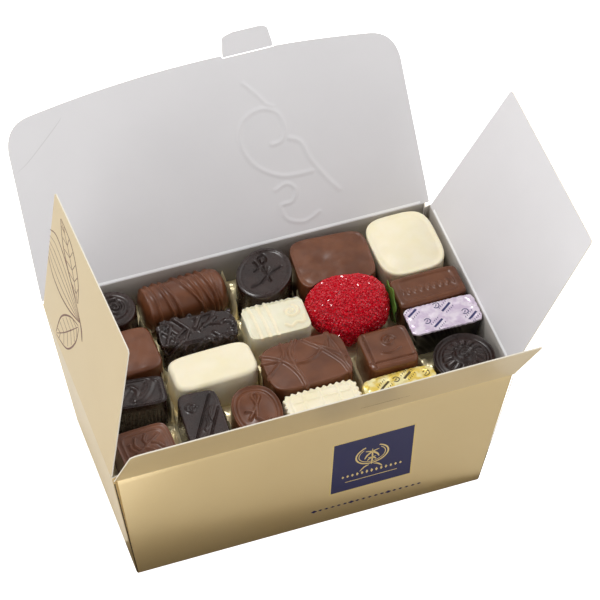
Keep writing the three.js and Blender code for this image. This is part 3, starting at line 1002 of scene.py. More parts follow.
@dataclass
class WhiteBlock(Praline):
    """A white block with an arched face: raised ivory ribs on its left, an ivory curl on its right."""

    ribs: tuple[float, ...] = (-10.4, -6.2, -2.1)

    def lines(self, face: Face) -> np.ndarray:
        """The ribs, the curl and its tail.

        Args:
            face: places on the face.

        Returns:
            Heights in millimetres.
        """
        rib = sum(np.exp(-((face.x - at + 0.06 * face.y) / 0.75) ** 4) for at in self.ribs)
        curl = face.stroke(spiral((7.6, 1.8), 4.2, 0.6, -1.3, 1.1), 1.3, 3)
        tail = face.strokes([[(3.4, -5.2), (5.6, -6.6), (8.6, -5.2), (12.0, -5.6), (12.8, -2.6)]], 1.3, 3)
        down, _ = self.over(face)
        return 0.6 * np.maximum(rib, np.maximum(curl, tail)) * np.clip(1.6 - down, 0, 1)

    def relief(self, face: Face) -> np.ndarray:
        """The arch and its fine border."""
        return 0.25 * face.frame(0.96, 0.03) - 0.018 * face.y * face.y

    def ripple(self, angle: np.ndarray, z: np.ndarray) -> np.ndarray:
        """Small scallops along the back edge."""
        behind = np.clip(np.sin(angle) * 4 - 1.4, 0, 1) * np.clip((z - self.tall + 3) / 2, 0, 1)
        return 0.3 * behind * np.cos(30 * angle)

    def tint(self, form: Form) -> None:
        """Give the raised ribs and curl the creamier chocolate.

        Args:
            form: the praline's form.
        """
        points = np.concatenate(form.points)
        x, y, z = np.array([points[face].mean(axis=0) for face in form.faces]).T
        raised = (z > self.tall - 3) & (self.lines(Face(x, y)) > 0.14)
        form.slots = np.where(raised, 1, form.slots).tolist()


@dataclass
class MilkArcs(Praline):
    """A milk praline: thin raised arcs of chocolate laid across it and over its edges."""

    def lines(self, face: Face) -> np.ndarray:
        """The arcs, each a thin rope.

        Args:
            face: places on the face.

        Returns:
            Heights in millimetres.
        """
        arcs = [
            [(-23.5, 5.6), (-19.1, 4.4), (-12.1, 3.1), (-9.6, 1.2), (-7.3, -3.4), (-5.5, -9.5), (-4.9, -18)],
            [(-23, 10.2), (-16.1, 7.5), (-11.0, 3.4), (-6.9, -1.8)],
            [(-2.6, 15), (-3.2, 12.4), (-6.2, 7.3), (-6.7, 2.6), (-6.0, -3.2), (-4.6, -11), (-4.2, -18)],
            [(-8.2, 16), (-8.7, 10.9), (-9.3, 6.2), (-12.6, 2.2), (-17.5, -2), (-22, -4.4)],
            [(-6.3, -0.3), (-0.4, -0.9), (4.6, 0.7), (7.7, 3.6)],
            [(-1.0, 14), (-1.6, 12.2), (-4.6, 8.1), (-5.3, 1.4)],
            [(2.4, 12.6), (4.3, 9.9), (8.1, 5.5), (12.1, -0.3), (15.8, -7), (16.9, -14.3), (17, -19)],
            [(5.6, 9.3), (10.3, 4.8), (15.4, 0.3), (18.6, -3)],
            [(13.2, 14.5), (13.0, 10.4), (11.8, 4.6)],
            [(14.2, 14), (15, 8.4), (16.4, 1.0), (17.2, -6.8), (19.3, -15.5)],
        ]
        return 0.95 * face.strokes(arcs, 1.25, 2.6, 6)

    def relief(self, face: Face) -> np.ndarray:
        """A low dome."""
        return 0.9 * face.dome() - 0.9


@dataclass
class IvoryWaffle(Praline):
    """An ivory waffle: thin raised lines round soft cells, and scalloped edges."""

    def relief(self, face: Face) -> np.ndarray:
        """The lines of the cells and a frame line inside the edge.

        Args:
            face: places on the face.

        Returns:
            Heights in millimetres.
        """
        along = np.exp(-((np.abs((face.x / 8.3 + 0.5) % 1 - 0.5) * 8.3) / 0.5) ** 2)
        across = np.exp(-((np.abs((face.y / 6.6) % 1 - 0.5) * 6.6) / 0.5) ** 2)
        inside = np.clip((0.88 - face.reach) * 20, 0, 1)
        frame = face.frame(0.87, 0.03)
        return 0.5 * np.maximum(np.maximum(along, across) * inside, frame)

    def lines(self, face: Face) -> np.ndarray:
        """Scallops along the edges, fading down the sides.

        Args:
            face: places on the face.

        Returns:
            Heights in millimetres.
        """
        down, along = self.over(face)
        return (0.45 * np.cos(2 * math.pi * along / 3.1) * np.clip(1.1 + down / 1.2, 0, 1)
                * np.clip(2 - down / 4, 0.3, 1))


@dataclass
class MilkDimple(Praline):
    """A large milk praline with a dimple, hollowed where the red sweet leans on it."""

    room: float = 0.8

    def relief(self, face: Face) -> np.ndarray:
        """The dome and the dimple."""
        dimple = 1.1 * np.exp(-(((face.x + 4.4) / 5.4) ** 2 + ((face.y + 0.4) / 4.2) ** 2))
        return 1.4 * face.dome() - 1.4 - dimple + 0.14 * face.settled(3, 8)

    def stand(self, points: np.ndarray) -> np.ndarray:
        """Set the points where the node stands, and keep them off the red sweet.

        Args:
            points: points of the praline, in millimetres.

        Returns:
            The points in the shared frame.
        """
        placed = super().stand(points)
        sweet = RedSweet()
        turned = spin(sweet.turn)
        local = placed - np.array(sweet.middle)
        local[:, :2] = local[:, :2] @ turned.T
        half = np.array(sweet.half) + self.room
        along = np.clip(local[:, 0] / half[0], -1, 1)
        blunt = np.where(along > 0, 3.4, 2.1)
        girth = np.sqrt(np.clip(1 - np.abs(along) ** blunt, 1e-6, 1))
        girth *= 1 + sweet.tip(along, np.arctan2(local[:, 2] / half[2], local[:, 1] / half[1]))
        share = np.hypot(local[:, 1] / half[1], local[:, 2] / half[2]) / girth
        inside = (share < 1) & (np.abs(local[:, 0]) < half[0]) & (local[:, 1] > 0)
        lift = np.where(inside, half[1] * np.sqrt(np.clip(girth ** 2 - (local[:, 2] / half[2]) ** 2, 0, None)), 0)
        local[:, 1] = np.where(inside, np.maximum(local[:, 1], lift), local[:, 1])
        local[:, :2] = local[:, :2] @ turned
        return local + np.array(sweet.middle)


@dataclass
class MilkFrame(Praline):
    """A square milk praline: a sunk field behind raised strips, and a small generic curl."""

    def relief(self, face: Face) -> np.ndarray:
        """The strips on the left and in front, the fine border and the curl.

        Args:
            face: places on the face.

        Returns:
            Heights in millimetres.
        """
        left, front = face.x + self.size[0] / 2, face.y + self.size[1] / 2
        strip = np.maximum(1 / (1 + np.exp((left - 2.3) * 9)), 1 / (1 + np.exp((front - 3.5) * 9)))
        groove = np.maximum(np.exp(-((left - 3.0) / 0.4) ** 2), np.exp(-((front - 4.2) / 0.4) ** 2))
        curl = face.stroke(spiral((1.4, 3.4), 3.4, 0.5, 1.5, 0.2), 1.0)
        base = face.strokes([[(-3.4, -2.6), (0.6, -3.6), (5.4, -2.2)]], 0.8)
        border = 0.3 * face.frame(0.95, 0.03)
        return 0.4 * strip - 0.95 * groove + 1.0 * np.maximum(curl, base) + border


@dataclass
class IvoryPillow(Praline):
    """An ivory praline like a small pillow."""

    def relief(self, face: Face) -> np.ndarray:
        """Its crown."""
        return 2.2 * face.dome() - 2.2 + 0.14 * face.settled(8, 11)


@dataclass
class MilkBar(Praline):
    """A milk bar with bevelled edges and a field inside a fine border, with a row of plain pearls."""

    def relief(self, face: Face) -> np.ndarray:
        """A shallow field inside a border, and the pearls.

        Args:
            face: places on the face.

        Returns:
            Heights in millimetres.
        """
        beside = np.abs((face.x / 3.2 + 0.5) % 1 - 0.5) * 3.2
        pearls = np.exp(-((beside / 1.05) ** 2 + ((face.y + 0.6) / 1.9) ** 2) ** 2) * (np.abs(face.x) < 12.8)
        return 0.7 * pearls - 0.45 / (1 + np.exp((face.reach - 0.86) * 60))


@dataclass
class DarkPetals(Praline):
    """A round dark praline: rays round a rose-like knob inside a broad smooth ring."""

    def relief(self, face: Face) -> np.ndarray:
        """The dome, the ring, the rays and the knob.

        Args:
            face: places on the face.

        Returns:
            Heights in millimetres.
        """
        dome = 3.4 * face.dome() - 3.4
        radius, angle = np.hypot(face.x, face.y), np.arctan2(face.y, face.x)
        share = (angle * 15 / (2 * math.pi) + radius * 0.03) % 1
        ray = np.clip(1 - np.abs(2 * share - 1) ** 3, 0, 1)
        band = np.clip((radius - 5.4) / 0.8, 0, 1) * np.clip((10.6 - radius) / 0.8, 0, 1)
        ring = np.clip((radius - 10.8) / 0.7, 0, 1) * np.clip((1.02 - face.reach) * 9, 0, 1)
        rose = face.stroke(spiral((0, 0), 4.6, 0.4, 2.2, 0.3), 1.1)
        knob = 0.7 * np.exp(-(radius / 4.6) ** 4)
        return dome + 1.3 * ray * band + 0.6 * ring + 1.1 * rose + knob


def creased(points: np.ndarray, seed: int, scale: float, folds: int = 6) -> np.ndarray:
    """Sharp-edged crumples: the highest of seeded plane waves with folded crests.

    Args:
        points: rows of coordinates, in millimetres.
        seed: the seed.
        scale: the size of its facets, in millimetres.
        folds: how many waves are laid over one another.

    Returns:
        One value a point, about 0 to 1.
    """
    rng = np.random.default_rng(seed)
    total = np.zeros(points.shape[:-1])
    for _ in range(folds):
        direction = rng.normal(size=points.shape[-1])
        direction *= rng.uniform(0.7, 1.6) / (scale * np.linalg.norm(direction))
        phase = points @ direction + rng.uniform(0, 1)
        total += np.abs((phase % 1) * 2 - 1) * rng.uniform(0.5, 1)
    return total / folds / 0.75


@dataclass
class FoilPraline(Praline):
    """A praline in printed foil: the foil's folds stand up at its edges and crinkle its face."""

    crinkle: float = 0.5
    facet: float = 7.0
    ink: object = None
    dashes: tuple[tuple[float, float], ...] = ()
    circles: tuple[tuple[float, float], ...] = ()
    slant: float = 37.0

    def relief(self, face: Face) -> np.ndarray:
        """Crinkles of the face.

        Args:
            face: places on the face.

        Returns:
            Heights in millimetres.
        """
        flat = np.stack([face.x, face.y], axis=-1)
        fold = 0.35 * face.frame(0.9, 0.05) * (0.6 + 0.4 * np.sin(0.9 * face.x + 1.3 * face.y))
        return self.crinkle * (creased(flat, self.seed, self.facet) - 0.9) + fold

    def ripple(self, angle: np.ndarray, z: np.ndarray) -> np.ndarray:
        """Pleats down the sides."""
        return 0.3 * (np.abs((angle * 5.5 + 0.14 * z) % 1 * 2 - 1) - 0.5)

    def tint(self, form: Form) -> None:
        """Give the sides a darker finish, where there is one.

        Args:
            form: the praline's form.
        """
        if self.others:
            points = np.concatenate(form.points)
            level = np.array([points[face, 2].mean() for face in form.faces])
            form.slots = np.where(level < self.tall - 1.1, 1, form.slots).tolist()

    def lay(self, x: np.ndarray, y: np.ndarray, proud: np.ndarray) -> np.ndarray:
        """A place on the wrapped face.

        Args:
            x: the place's x on the face.
            y: its y.
            proud: how far it stands off the foil.

        Returns:
            The points, in millimetres.
        """
        half = np.array(self.size) / 2 - self.edge
        face = Face(x, y, np.maximum(np.abs(x) / half[0], np.abs(y) / half[1]))
        level = self.tall + self.relief(face) + self.lines(face) + proud + 0.03
        return self.stand(self.warp(np.stack([x, y, level], axis=-1)))

    def build(self) -> bpy.types.Object:
        """Build the praline and the marks printed on its foil.

        Returns:
            The praline.
        """
        piece = super().build()
        art = Print(f"{self.node}_print", "tray", self.slot, self.lay, [self.ink])
        turn = math.radians(self.slant)
        share = np.linspace(-1, 1, 14)[:, None]
        for at in self.dashes:
            art.strip(np.array(at) + 3.2 * share * [math.cos(turn), math.sin(turn)], 1.1, Ink.NAVY, 0.05)
            for side in (-1, 1):
                for k in (-2, -1, 0, 1, 2):
                    spot = np.array(at) + 2.2 * side * np.array([-math.sin(turn), math.cos(turn)])
                    spot = spot + 1.25 * k * np.array([math.cos(turn), math.sin(turn)])
                    art.strip(spot + 0.45 * share * [math.cos(turn + 1), math.sin(turn + 1)], 0.3, Ink.NAVY, 0.05)
        for at in self.circles:
            art.ring(at, (1.5, 1.5), 0.42, Ink.NAVY, (-150, 150))
            art.curve([(at[0] - 0.7, at[1] - 0.6), at, (at[0] + 0.3, at[1] + 0.8)], 0.4, Ink.NAVY)
        art.build()
        return piece


@dataclass
class MilkLog:
    """A milk log with round ends, drizzled across, lying along the box."""

    node: str = "milk_log"
    length: float = 41.5
    radius: float = 11.2
    axis: float = 10.2
    turn: float = 2.8
    ends: float = 4.6
    slices: int = 190
    sides: int = 190
    drizzles: tuple[tuple[float, float, float], ...] = (
        (-15.2, 2.4, 0.9), (-10.6, 5.0, 1.0), (-7.4, 5.2, 0.8), (0.6, 10.5, 1.1), (4.0, 6.5, 1.0),
        (7.6, 6.5, 1.0), (11.2, 5.0, 1.1), (14.8, 2.0, 0.6))

    def build(self) -> bpy.types.Object:
        """Build, place and dress the log.

        Returns:
            The praline.
        """
        along = np.linspace(-0.5, 0.5, self.slices + 1) * self.length
        angle = np.linspace(0, 2 * math.pi, self.sides, endpoint=False)
        x, a = np.meshgrid(along, angle, indexing="ij")
        beyond = np.clip(np.abs(x) - (self.length / 2 - self.ends), 0, None) / self.ends
        radius = (self.radius - 0.7) * np.sqrt(1 - 0.62 * beyond ** 2.4)
        front = np.cos(a)
        rope = np.zeros_like(x)
        for at, slope, bold in self.drizzles:
            middle = at + slope * (0.5 * front + 0.12 * front ** 2) + 0.25 * np.sin(3 * a + at)
            rope = np.maximum(rope, bold * np.exp(-((x - middle) / 0.7) ** 2))
        rim = 0.8 * np.exp(-((x + self.length / 2 - 2.2) / 0.9) ** 2)
        skin = np.stack([x, front * self.radius, np.sin(a) * self.radius], axis=-1)
        edge = np.clip((1 - beyond) * 2.4, 0, 1)
        radius = radius + 1.3 * np.maximum(rope * edge, rim) + 0.16 * wobble(skin, 4, 14)
        z = np.clip(self.axis + radius * np.sin(a), 0, None)
        grid = np.stack([x, -radius * front, z], axis=-1)
        form = Form()
        form.sheet(grid, wrap=True)
        form.fan(grid[0][::-1], (-self.length / 2 - 0.2, 0, self.axis))
        form.fan(grid[-1], (self.length / 2 + 0.2, 0, self.axis))
        form.points = [stood(points, self.node, self.turn) for points in form.points]
        piece = form.build("milk_log_praline", [MILK])
        return settle(piece, "tray", "milk_chocolate", self.node)


# ---------------------------------------------------------------- the red sweet


def grains_tree() -> bpy.types.GeometryNodeTree:
    """Geometry nodes that scatter blocky grains over a surface.

    Returns:
        The tree, with inputs for the grains' size, spacing, seed and material.
    """
    tree = bpy.data.node_groups.new("sugar grains", "GeometryNodeTree")
    for name, kind in (("Surface", "Geometry"), ("Spacing", "Float"), ("Grain", "Float"), ("Seed", "Int"),
                       ("Finish", "Material")):
        tree.interface.new_socket(name, in_out="INPUT", socket_type=f"NodeSocket{kind}")
    tree.interface.new_socket("Grains", in_out="OUTPUT", socket_type="NodeSocketGeometry")
    given = add(tree, "NodeGroupInput")
    spots = add(tree, "GeometryNodeDistributePointsOnFaces",
                {"distribute_method": "POISSON", "Density Max": 4e6},
                {"Mesh": given.outputs["Surface"], "Distance Min": given.outputs["Spacing"],
                 "Seed": given.outputs["Seed"]})
    block = add(tree, "GeometryNodeMeshCube", {"Size": (1.0, 0.85, 0.7)})
    tumble = add(tree, "FunctionNodeRandomValue", {"data_type": "FLOAT_VECTOR", 1: (2 * math.pi,) * 3},
                 {"Seed": given.outputs["Seed"]})
    share = add(tree, "FunctionNodeRandomValue", {"data_type": "FLOAT", 2: 0.55, 3: 1.25},
                {"Seed": given.outputs["Seed"]})
    size = add(tree, "ShaderNodeMath", {"operation": "MULTIPLY"},
               {0: share.outputs[1], 1: given.outputs["Grain"]})
    placed = add(tree, "GeometryNodeInstanceOnPoints", {},
                 {"Points": spots.outputs["Points"], "Instance": block.outputs["Mesh"],
                  "Rotation": tumble.outputs[0], "Scale": size.outputs[0]})
    real = add(tree, "GeometryNodeRealizeInstances", {}, {"Geometry": placed.outputs["Instances"]})
    dressed = add(tree, "GeometryNodeSetMaterial", {},
                  {"Geometry": real.outputs["Geometry"], "Material": given.outputs["Finish"]})
    add(tree, "NodeGroupOutput", {}, {"Grains": dressed.outputs["Geometry"]})
    return tree


@dataclass
class RedSweet:
    """The red sugared sweet: an egg on its side with a blunt shoulder, its crystals and its leaf."""

    middle: tuple[float, float, float] = (38.95, 10.6, 80.3)
    half: tuple[float, float, float] = (20.05, 15.2, 13.6)
    turn: float = -13.0
    tip_at: float = -0.12
    tip_width: float = 0.42
    tip_reach: float = 0.3
    tip_angle: float = 205.0
    tip_spread: float = 42.0
    rings: int = 110
    sides: int = 130
    grain: float = 0.95
    spacing: float = 0.58
    leaf_high: float = 10.6
    leaf_wide: float = 8.8
    leaf_turn: float = -4.0
    leaf_gap: float = 0.6
    leaf_thick: float = 0.35
    leaf_lobes: int = 7

    def place(self, points: np.ndarray) -> np.ndarray:
        """Turn points of the sweet and set them where its node is."""
        return np.concatenate([points[:, :2] @ spin(self.turn), points[:, 2:3]], axis=1) + np.array(self.middle)

    def tip(self, along: np.ndarray, angle: np.ndarray) -> np.ndarray:
        """How much farther out the skin stands towards the low tip in front."""
        across = (angle - math.radians(self.tip_angle)) / math.radians(self.tip_spread)
        return self.tip_reach * np.exp(-((along - self.tip_at) / self.tip_width) ** 2 - across ** 2)

    def body(self) -> bpy.types.Object:
        """The sweet under its crystals.

        Returns:
            The closed piece.
        """
        along = -np.cos(math.pi * np.linspace(0.012, 0.988, self.rings))
        angle = np.linspace(0, 2 * math.pi, self.sides, endpoint=False)
        s, a = np.meshgrid(along, angle, indexing="ij")
        blunt = np.where(s > 0, 3.4, 2.1)
        girth = np.sqrt(1 - np.abs(s) ** blunt) * (1 + self.tip(s, a))
        skin = np.stack([s * self.half[0], girth * np.cos(a) * self.half[1],
                         girth * np.sin(a) * self.half[2]], axis=-1)
        rough = 0.35 * wobble(skin, 21, 5) + 0.25 * wobble(skin, 22, 2.2)
        out = skin / np.linalg.norm(skin, axis=-1, keepdims=True)
        grid = skin * 0.985 + out * rough[..., None] * girth[..., None]
        form = Form()
        form.sheet(grid, wrap=True)
        form.fan(grid[0][::-1], (-self.half[0] * 0.985, 0, 0))
        form.fan(grid[-1], (self.half[0] * 0.985, 0, 0))
        form.points = [self.place(points) for points in form.points]
        return form.build("red_sweet_body", [SugarJelly()])

    def crystals(self, body: bpy.types.Object) -> bpy.types.Object:
        """The crystals, scattered over the body by geometry nodes and made a plain mesh.

        Args:
            body: the piece that the grains sit on.

        Returns:
            The grains.
        """
        host = linked("grain_host", body.data)
        modifier = host.modifiers.new("grains", "NODES")
        modifier.node_group = grains_tree()
        wanted = {"Spacing": self.spacing * MM, "Grain": self.grain * MM, "Seed": 5,
                  "Finish": DRESSER.material(SugarCrystal())}
        for item in modifier.node_group.interface.items_tree:
            if item.name in wanted:
                modifier[item.identifier] = wanted[item.name]
        evaluated = host.evaluated_get(bpy.context.evaluated_depsgraph_get())
        mesh = bpy.data.meshes.new_from_object(evaluated)
        host.modifiers.remove(modifier)
        bpy.data.objects.remove(host)
        mesh.name = "red_sweet_crystals"
        return linked(mesh.name, mesh)

    def leaf(self) -> bpy.types.Object:
        """The thin wavy leaf behind the sweet's shoulder.

        Returns:
            The piece.
        """
        share = np.linspace(0.02, 1, 24)
        angle = np.linspace(0, 2 * math.pi, 168, endpoint=False)
        s, a = np.meshgrid(share, angle, indexing="ij")
        reach = s * (1 + 0.1 * np.cos(self.leaf_lobes * a))
        wave = 0.3 * s * np.cos(3 * a) + 0.08 * np.cos(self.leaf_lobes * a) * s ** 2
        across, up = self.leaf_wide * reach * np.cos(a), self.leaf_high * reach * np.sin(a)
        form = Form()
        for thick in (0.0, self.leaf_thick):
            grid = np.stack([self.leaf_gap + wave + thick, across, up], axis=-1)
            form.sheet(grid, wrap=True)
            form.fan(grid[0][::-1], (self.leaf_gap + thick, 0, 0))
        rims = [np.stack([self.leaf_gap + wave[-1] + thick, across[-1], up[-1]], axis=-1)
                for thick in (0, self.leaf_thick)]
        form.sheet(np.array(rims), wrap=True)
        end = self.place(np.array([[self.half[0], 0, 0]]))
        turned = spin(self.leaf_turn)
        form.points = [np.concatenate([points[:, :2] @ turned, points[:, 2:3]], axis=1) + end for points in form.points]
        return form.build("sweet_leaf_blade", [SugarLeaf()], sharp=50)

    def build(self) -> None:
        """Build the sweet, its crystals and its leaf."""
        body = self.body()
        crystals = self.crystals(body)
        settle(body, "tray", "red_sugar", "red_sweet")
        settle(crystals, "tray", "red_sugar")
        settle(self.leaf(), "tray", "green_leaf", "sweet_leaf")


# ---------------------------------------------------------------- the carton


def hinged(points: np.ndarray, position: tuple[float, float, float], heading: float, lean: float) -> np.ndarray:
    """Set a panel's points at its crease.

    Args:
        points: along the crease, outwards through the board, and up from the crease.
        position: the crease's middle, in millimetres.
        heading: the turn of the panel's outward side, in degrees.
        lean: how far it leans outwards from upright, in degrees.

    Returns:
        The points in the shared frame, in millimetres.
    """
    tip, head = math.radians(lean), math.radians(heading)
    x, y, z = points[..., 0], points[..., 1], points[..., 2]
    out = y * math.cos(tip) + z * math.sin(tip)
    up = z * math.cos(tip) - y * math.sin(tip)
    turned = np.stack([x * math.cos(head) - out * math.sin(head),
                       x * math.sin(head) + out * math.cos(head), up], axis=-1)
    return turned + np.array(position)


@dataclass
class Board:
    """The carton's board and the tray's sizes, all in millimetres."""

    length: float = 195.0
    width: float = 114.0
    height: float = 84.4
    end_taper: float = 11.2
    side_taper: float = 7.7
    thick: float = 0.6
    web_cut: tuple[float, float] = (0.4, 2.0)
    web_depth: tuple[float, float] = (0.6, 2.7)

    def crease(self, side: Side) -> tuple[tuple[float, float, float], float]:
        """The middle of a crease and its heading.

        Args:
            side: the wall that it tops.

        Returns:
            The crease's middle and heading.
        """
        x, y = (self.length - self.thick) / 2, (self.width - self.thick) / 2
        return {Side.BACK: ((0, y, self.height), 0.0), Side.LEFT: ((-x, 0, self.height), 90.0),
                Side.RIGHT: ((x, 0, self.height), -90.0), Side.FRONT: ((0, -y, self.height), 180.0)}[side]

    def outline(self, z: float) -> np.ndarray:
        """The tray's outer outline at a height, its corner webs folded inwards.

        Args:
            z: the height, in millimetres.

        Returns:
            Its corners, x and y.
        """
        share = z / self.height
        x = self.length / 2 - self.end_taper * (1 - share)
        y = self.width / 2 - self.side_taper * (1 - share)
        cut = np.interp(share, (0, 1), self.web_cut)
        deep = np.interp(share, (0, 1), self.web_depth)
        quarter = [(x, y - cut), (x - deep, y - deep), (x - cut, y)]
        back = [(-a, b) for a, b in reversed(quarter)]
        half = quarter + back
        return np.array(half + [(-a, -b) for a, b in half])

    def inset(self, z: float, distance: float) -> np.ndarray:
        """The outline at a height, moved inwards square to its edges.

        Args:
            z: the height, in millimetres.
            distance: how far inwards.

        Returns:
            The corners, x and y.
        """
        points = self.outline(z)
        before = points - np.roll(points, 1, axis=0)
        after = np.roll(points, -1, axis=0) - points
        before /= np.linalg.norm(before, axis=1, keepdims=True)
        after /= np.linalg.norm(after, axis=1, keepdims=True)
        cross = before[:, 0] * after[:, 1] - before[:, 1] * after[:, 0]
        along = distance * (1 - (before * after).sum(axis=1)) / cross
        across = np.stack([-before[:, 1], before[:, 0]], axis=1) * distance
        return points + across - before * along[:, None]


@dataclass
class Tray:
    """The folded tray: printed gold outside, its white-lined inside painted grey as shade, its corner webs folded in.
    """

    board: Board
    wall_cells: int = 48
    web_cells: int = 4
    walls: tuple[int, ...] = (2, 5, 8, 11)
    levels: int = 22

    def cells(self, edge: int) -> int:
        """How many columns of faces run along one edge of the outline."""
        return self.wall_cells if edge in self.walls else self.web_cells

    def ring(self, z: float, inset: float) -> np.ndarray:
        """A ring of points round the tray.

        Args:
            z: the height of the outline.
            inset: how far inwards.

        Returns:
            The ring's x and y.
        """
        corners = self.board.inset(z, inset)
        parts = []
        for i, corner in enumerate(corners):
            step = np.linspace(0, 1, self.cells(i), endpoint=False)[:, None]
            parts.append(corner + (corners[(i + 1) % len(corners)] - corner) * step)
        return np.concatenate(parts)

    def build(self) -> bpy.types.Object:
        """Build and dress the tray.

        Returns:
            The tray.
        """
        board = self.board
        edges = len(board.outline(0.0))
        walls = np.concatenate([np.full(self.cells(i), i in self.walls) for i in range(edges)])
        half = board.thick / 2
        bends = np.linspace(0, math.pi, 9)

        def level(z: float, inset: float, lift: float = 0.0) -> np.ndarray:
            """One ring with its height."""
            flat = self.ring(z, inset)
            return np.concatenate([flat, np.full((len(flat), 1), z + lift)], axis=1)

        rises = np.linspace(0, board.height, self.levels)
        outer = np.array([level(z, 0.0) for z in rises])
        rim = np.array([level(board.height, half * (1 - math.cos(a)), half * math.sin(a)) for a in bends])
        inner = np.array([level(z, board.thick) for z in reversed(np.linspace(board.thick, board.height, self.levels))])
        form = Form()
        form.sheet(outer, wrap=True, slot=0)
        form.sheet(rim[:4], wrap=True, column_slots=np.where(walls, 0, 2))
        form.sheet(rim[3:], wrap=True, column_slots=np.where(walls, 1, 2))
        # The inside takes the board painted grey as shade.
        form.sheet(inner, wrap=True, slot=1)
        form.fan(outer[0][::-1], (0, 0, 0), slot=0)
        form.fan(inner[-1], (0, 0, board.thick), slot=1)
        piece = form.build("tray_board", [GOLD_PRINT, SHADED_INSIDE_BOARD, CUT_EDGE], sharp=28)
        return settle(piece, "tray", "gold_card", "carton_tray")


@dataclass
class Flap:
    """A panel of board on a crease: printed outside, lined white inside, a bare cut edge."""

    node: str
    body: str
    crease: tuple[float, float, float]
    heading: float
    lean: float
    base: np.ndarray
    top: np.ndarray
    thick: float = 0.6
    twist: float = 0.0
    rows: int = 40
    pressing: tuple[tuple[list[tuple[float, float]], float], ...] = ()

    def surface(self, u: np.ndarray, v: np.ndarray) -> np.ndarray:
        """How far the board stands outwards at a place of the panel, in millimetres.

        Args:
            u: the run along the crease.
            v: the reach from it.

        Returns:
            The distances.
        """
        lean = np.tan(np.radians(self.twist * u / np.abs(self.base).max()))
        pressed = np.zeros(np.broadcast(u, v).shape)
        for points, width in self.pressing:
            pressed = np.maximum(pressed, stroke(u, v, smooth_line(points, 6), width, 3))
        return v * lean - 0.28 * pressed

    def point(self, u: np.ndarray, v: np.ndarray, out: float | np.ndarray) -> np.ndarray:
        """A place of the panel in the shared frame.

        Args:
            u: along the crease.
            v: up from it.
            out: outwards from the board's middle.

        Returns:
            The point, in millimetres.
        """
        local = np.stack([u, self.surface(u, v) + out, v], axis=-1)
        return hinged(local, self.crease, self.heading, self.lean)

    def build(self) -> bpy.types.Object:
        """Build and dress the panel.

        Returns:
            The panel.
        """
        share = np.linspace(0, 1, self.rows + 1)[:, None]
        u = self.base[None, :] * (1 - share) + self.top[None, :, 0] * share
        v = self.top[None, :, 1] * share
        half = self.thick / 2
        outside, inside = self.point(u, v, half), self.point(u, v, -half)
        form = Form()
        form.sheet(outside, slot=0)
        form.sheet(inside[:, ::-1], slot=1)
        for line in (np.s_[0, :], np.s_[-1, :], np.s_[:, 0], np.s_[:, -1]):
            form.sheet(np.stack([outside[line], inside[line]]), slot=2)
        piece = form.build(f"{self.node}_board", [GOLD_PRINT, BARE_BOARD, CUT_EDGE], sharp=28)
        return settle(piece, self.body, "gold_card", self.node)


def lid_outline(board: Board, reach: float = 93.3, side: float = 72.0, corner: float = 13.5,
                crown: float = 6.2, tab: tuple[float, float, float] = (12.0, 37.4, 91.7)) -> np.ndarray:
    """The lid's free edge from left to right: round corners, a crowned edge, a flat for the tab.

    Args:
        board: the carton's sizes.
        reach: the lid's reach at its middle.
        side: how high its straight sides run.
        corner: the corners' width.
        crown: how far the edge falls to the corners.
        tab: the tab's left, right and crease height.

    Returns:
        The edge's points.
    """
    half = board.length / 2
    shoulder = half - corner
    low = reach - crown
    t = np.linspace(0, 1, 15)[:, None]
    start, pull, end = np.array([-half, side]), np.array([1 - half, reach - 7.7]), np.array([-shoulder, low])
    bend = (1 - t) ** 2 * start + 2 * t * (1 - t) * pull + t ** 2 * end
    x = np.unique(np.concatenate([np.linspace(-shoulder, shoulder, 230), [tab[0], tab[1]]]))
    y = reach - crown * (x / shoulder) ** 2
    y = np.where((x >= tab[0]) & (x <= tab[1]), tab[2], y)
    middle = np.stack([x, y], axis=1)
    return np.concatenate([bend[:-1], middle, (bend * [-1, 1])[::-1][1:]])


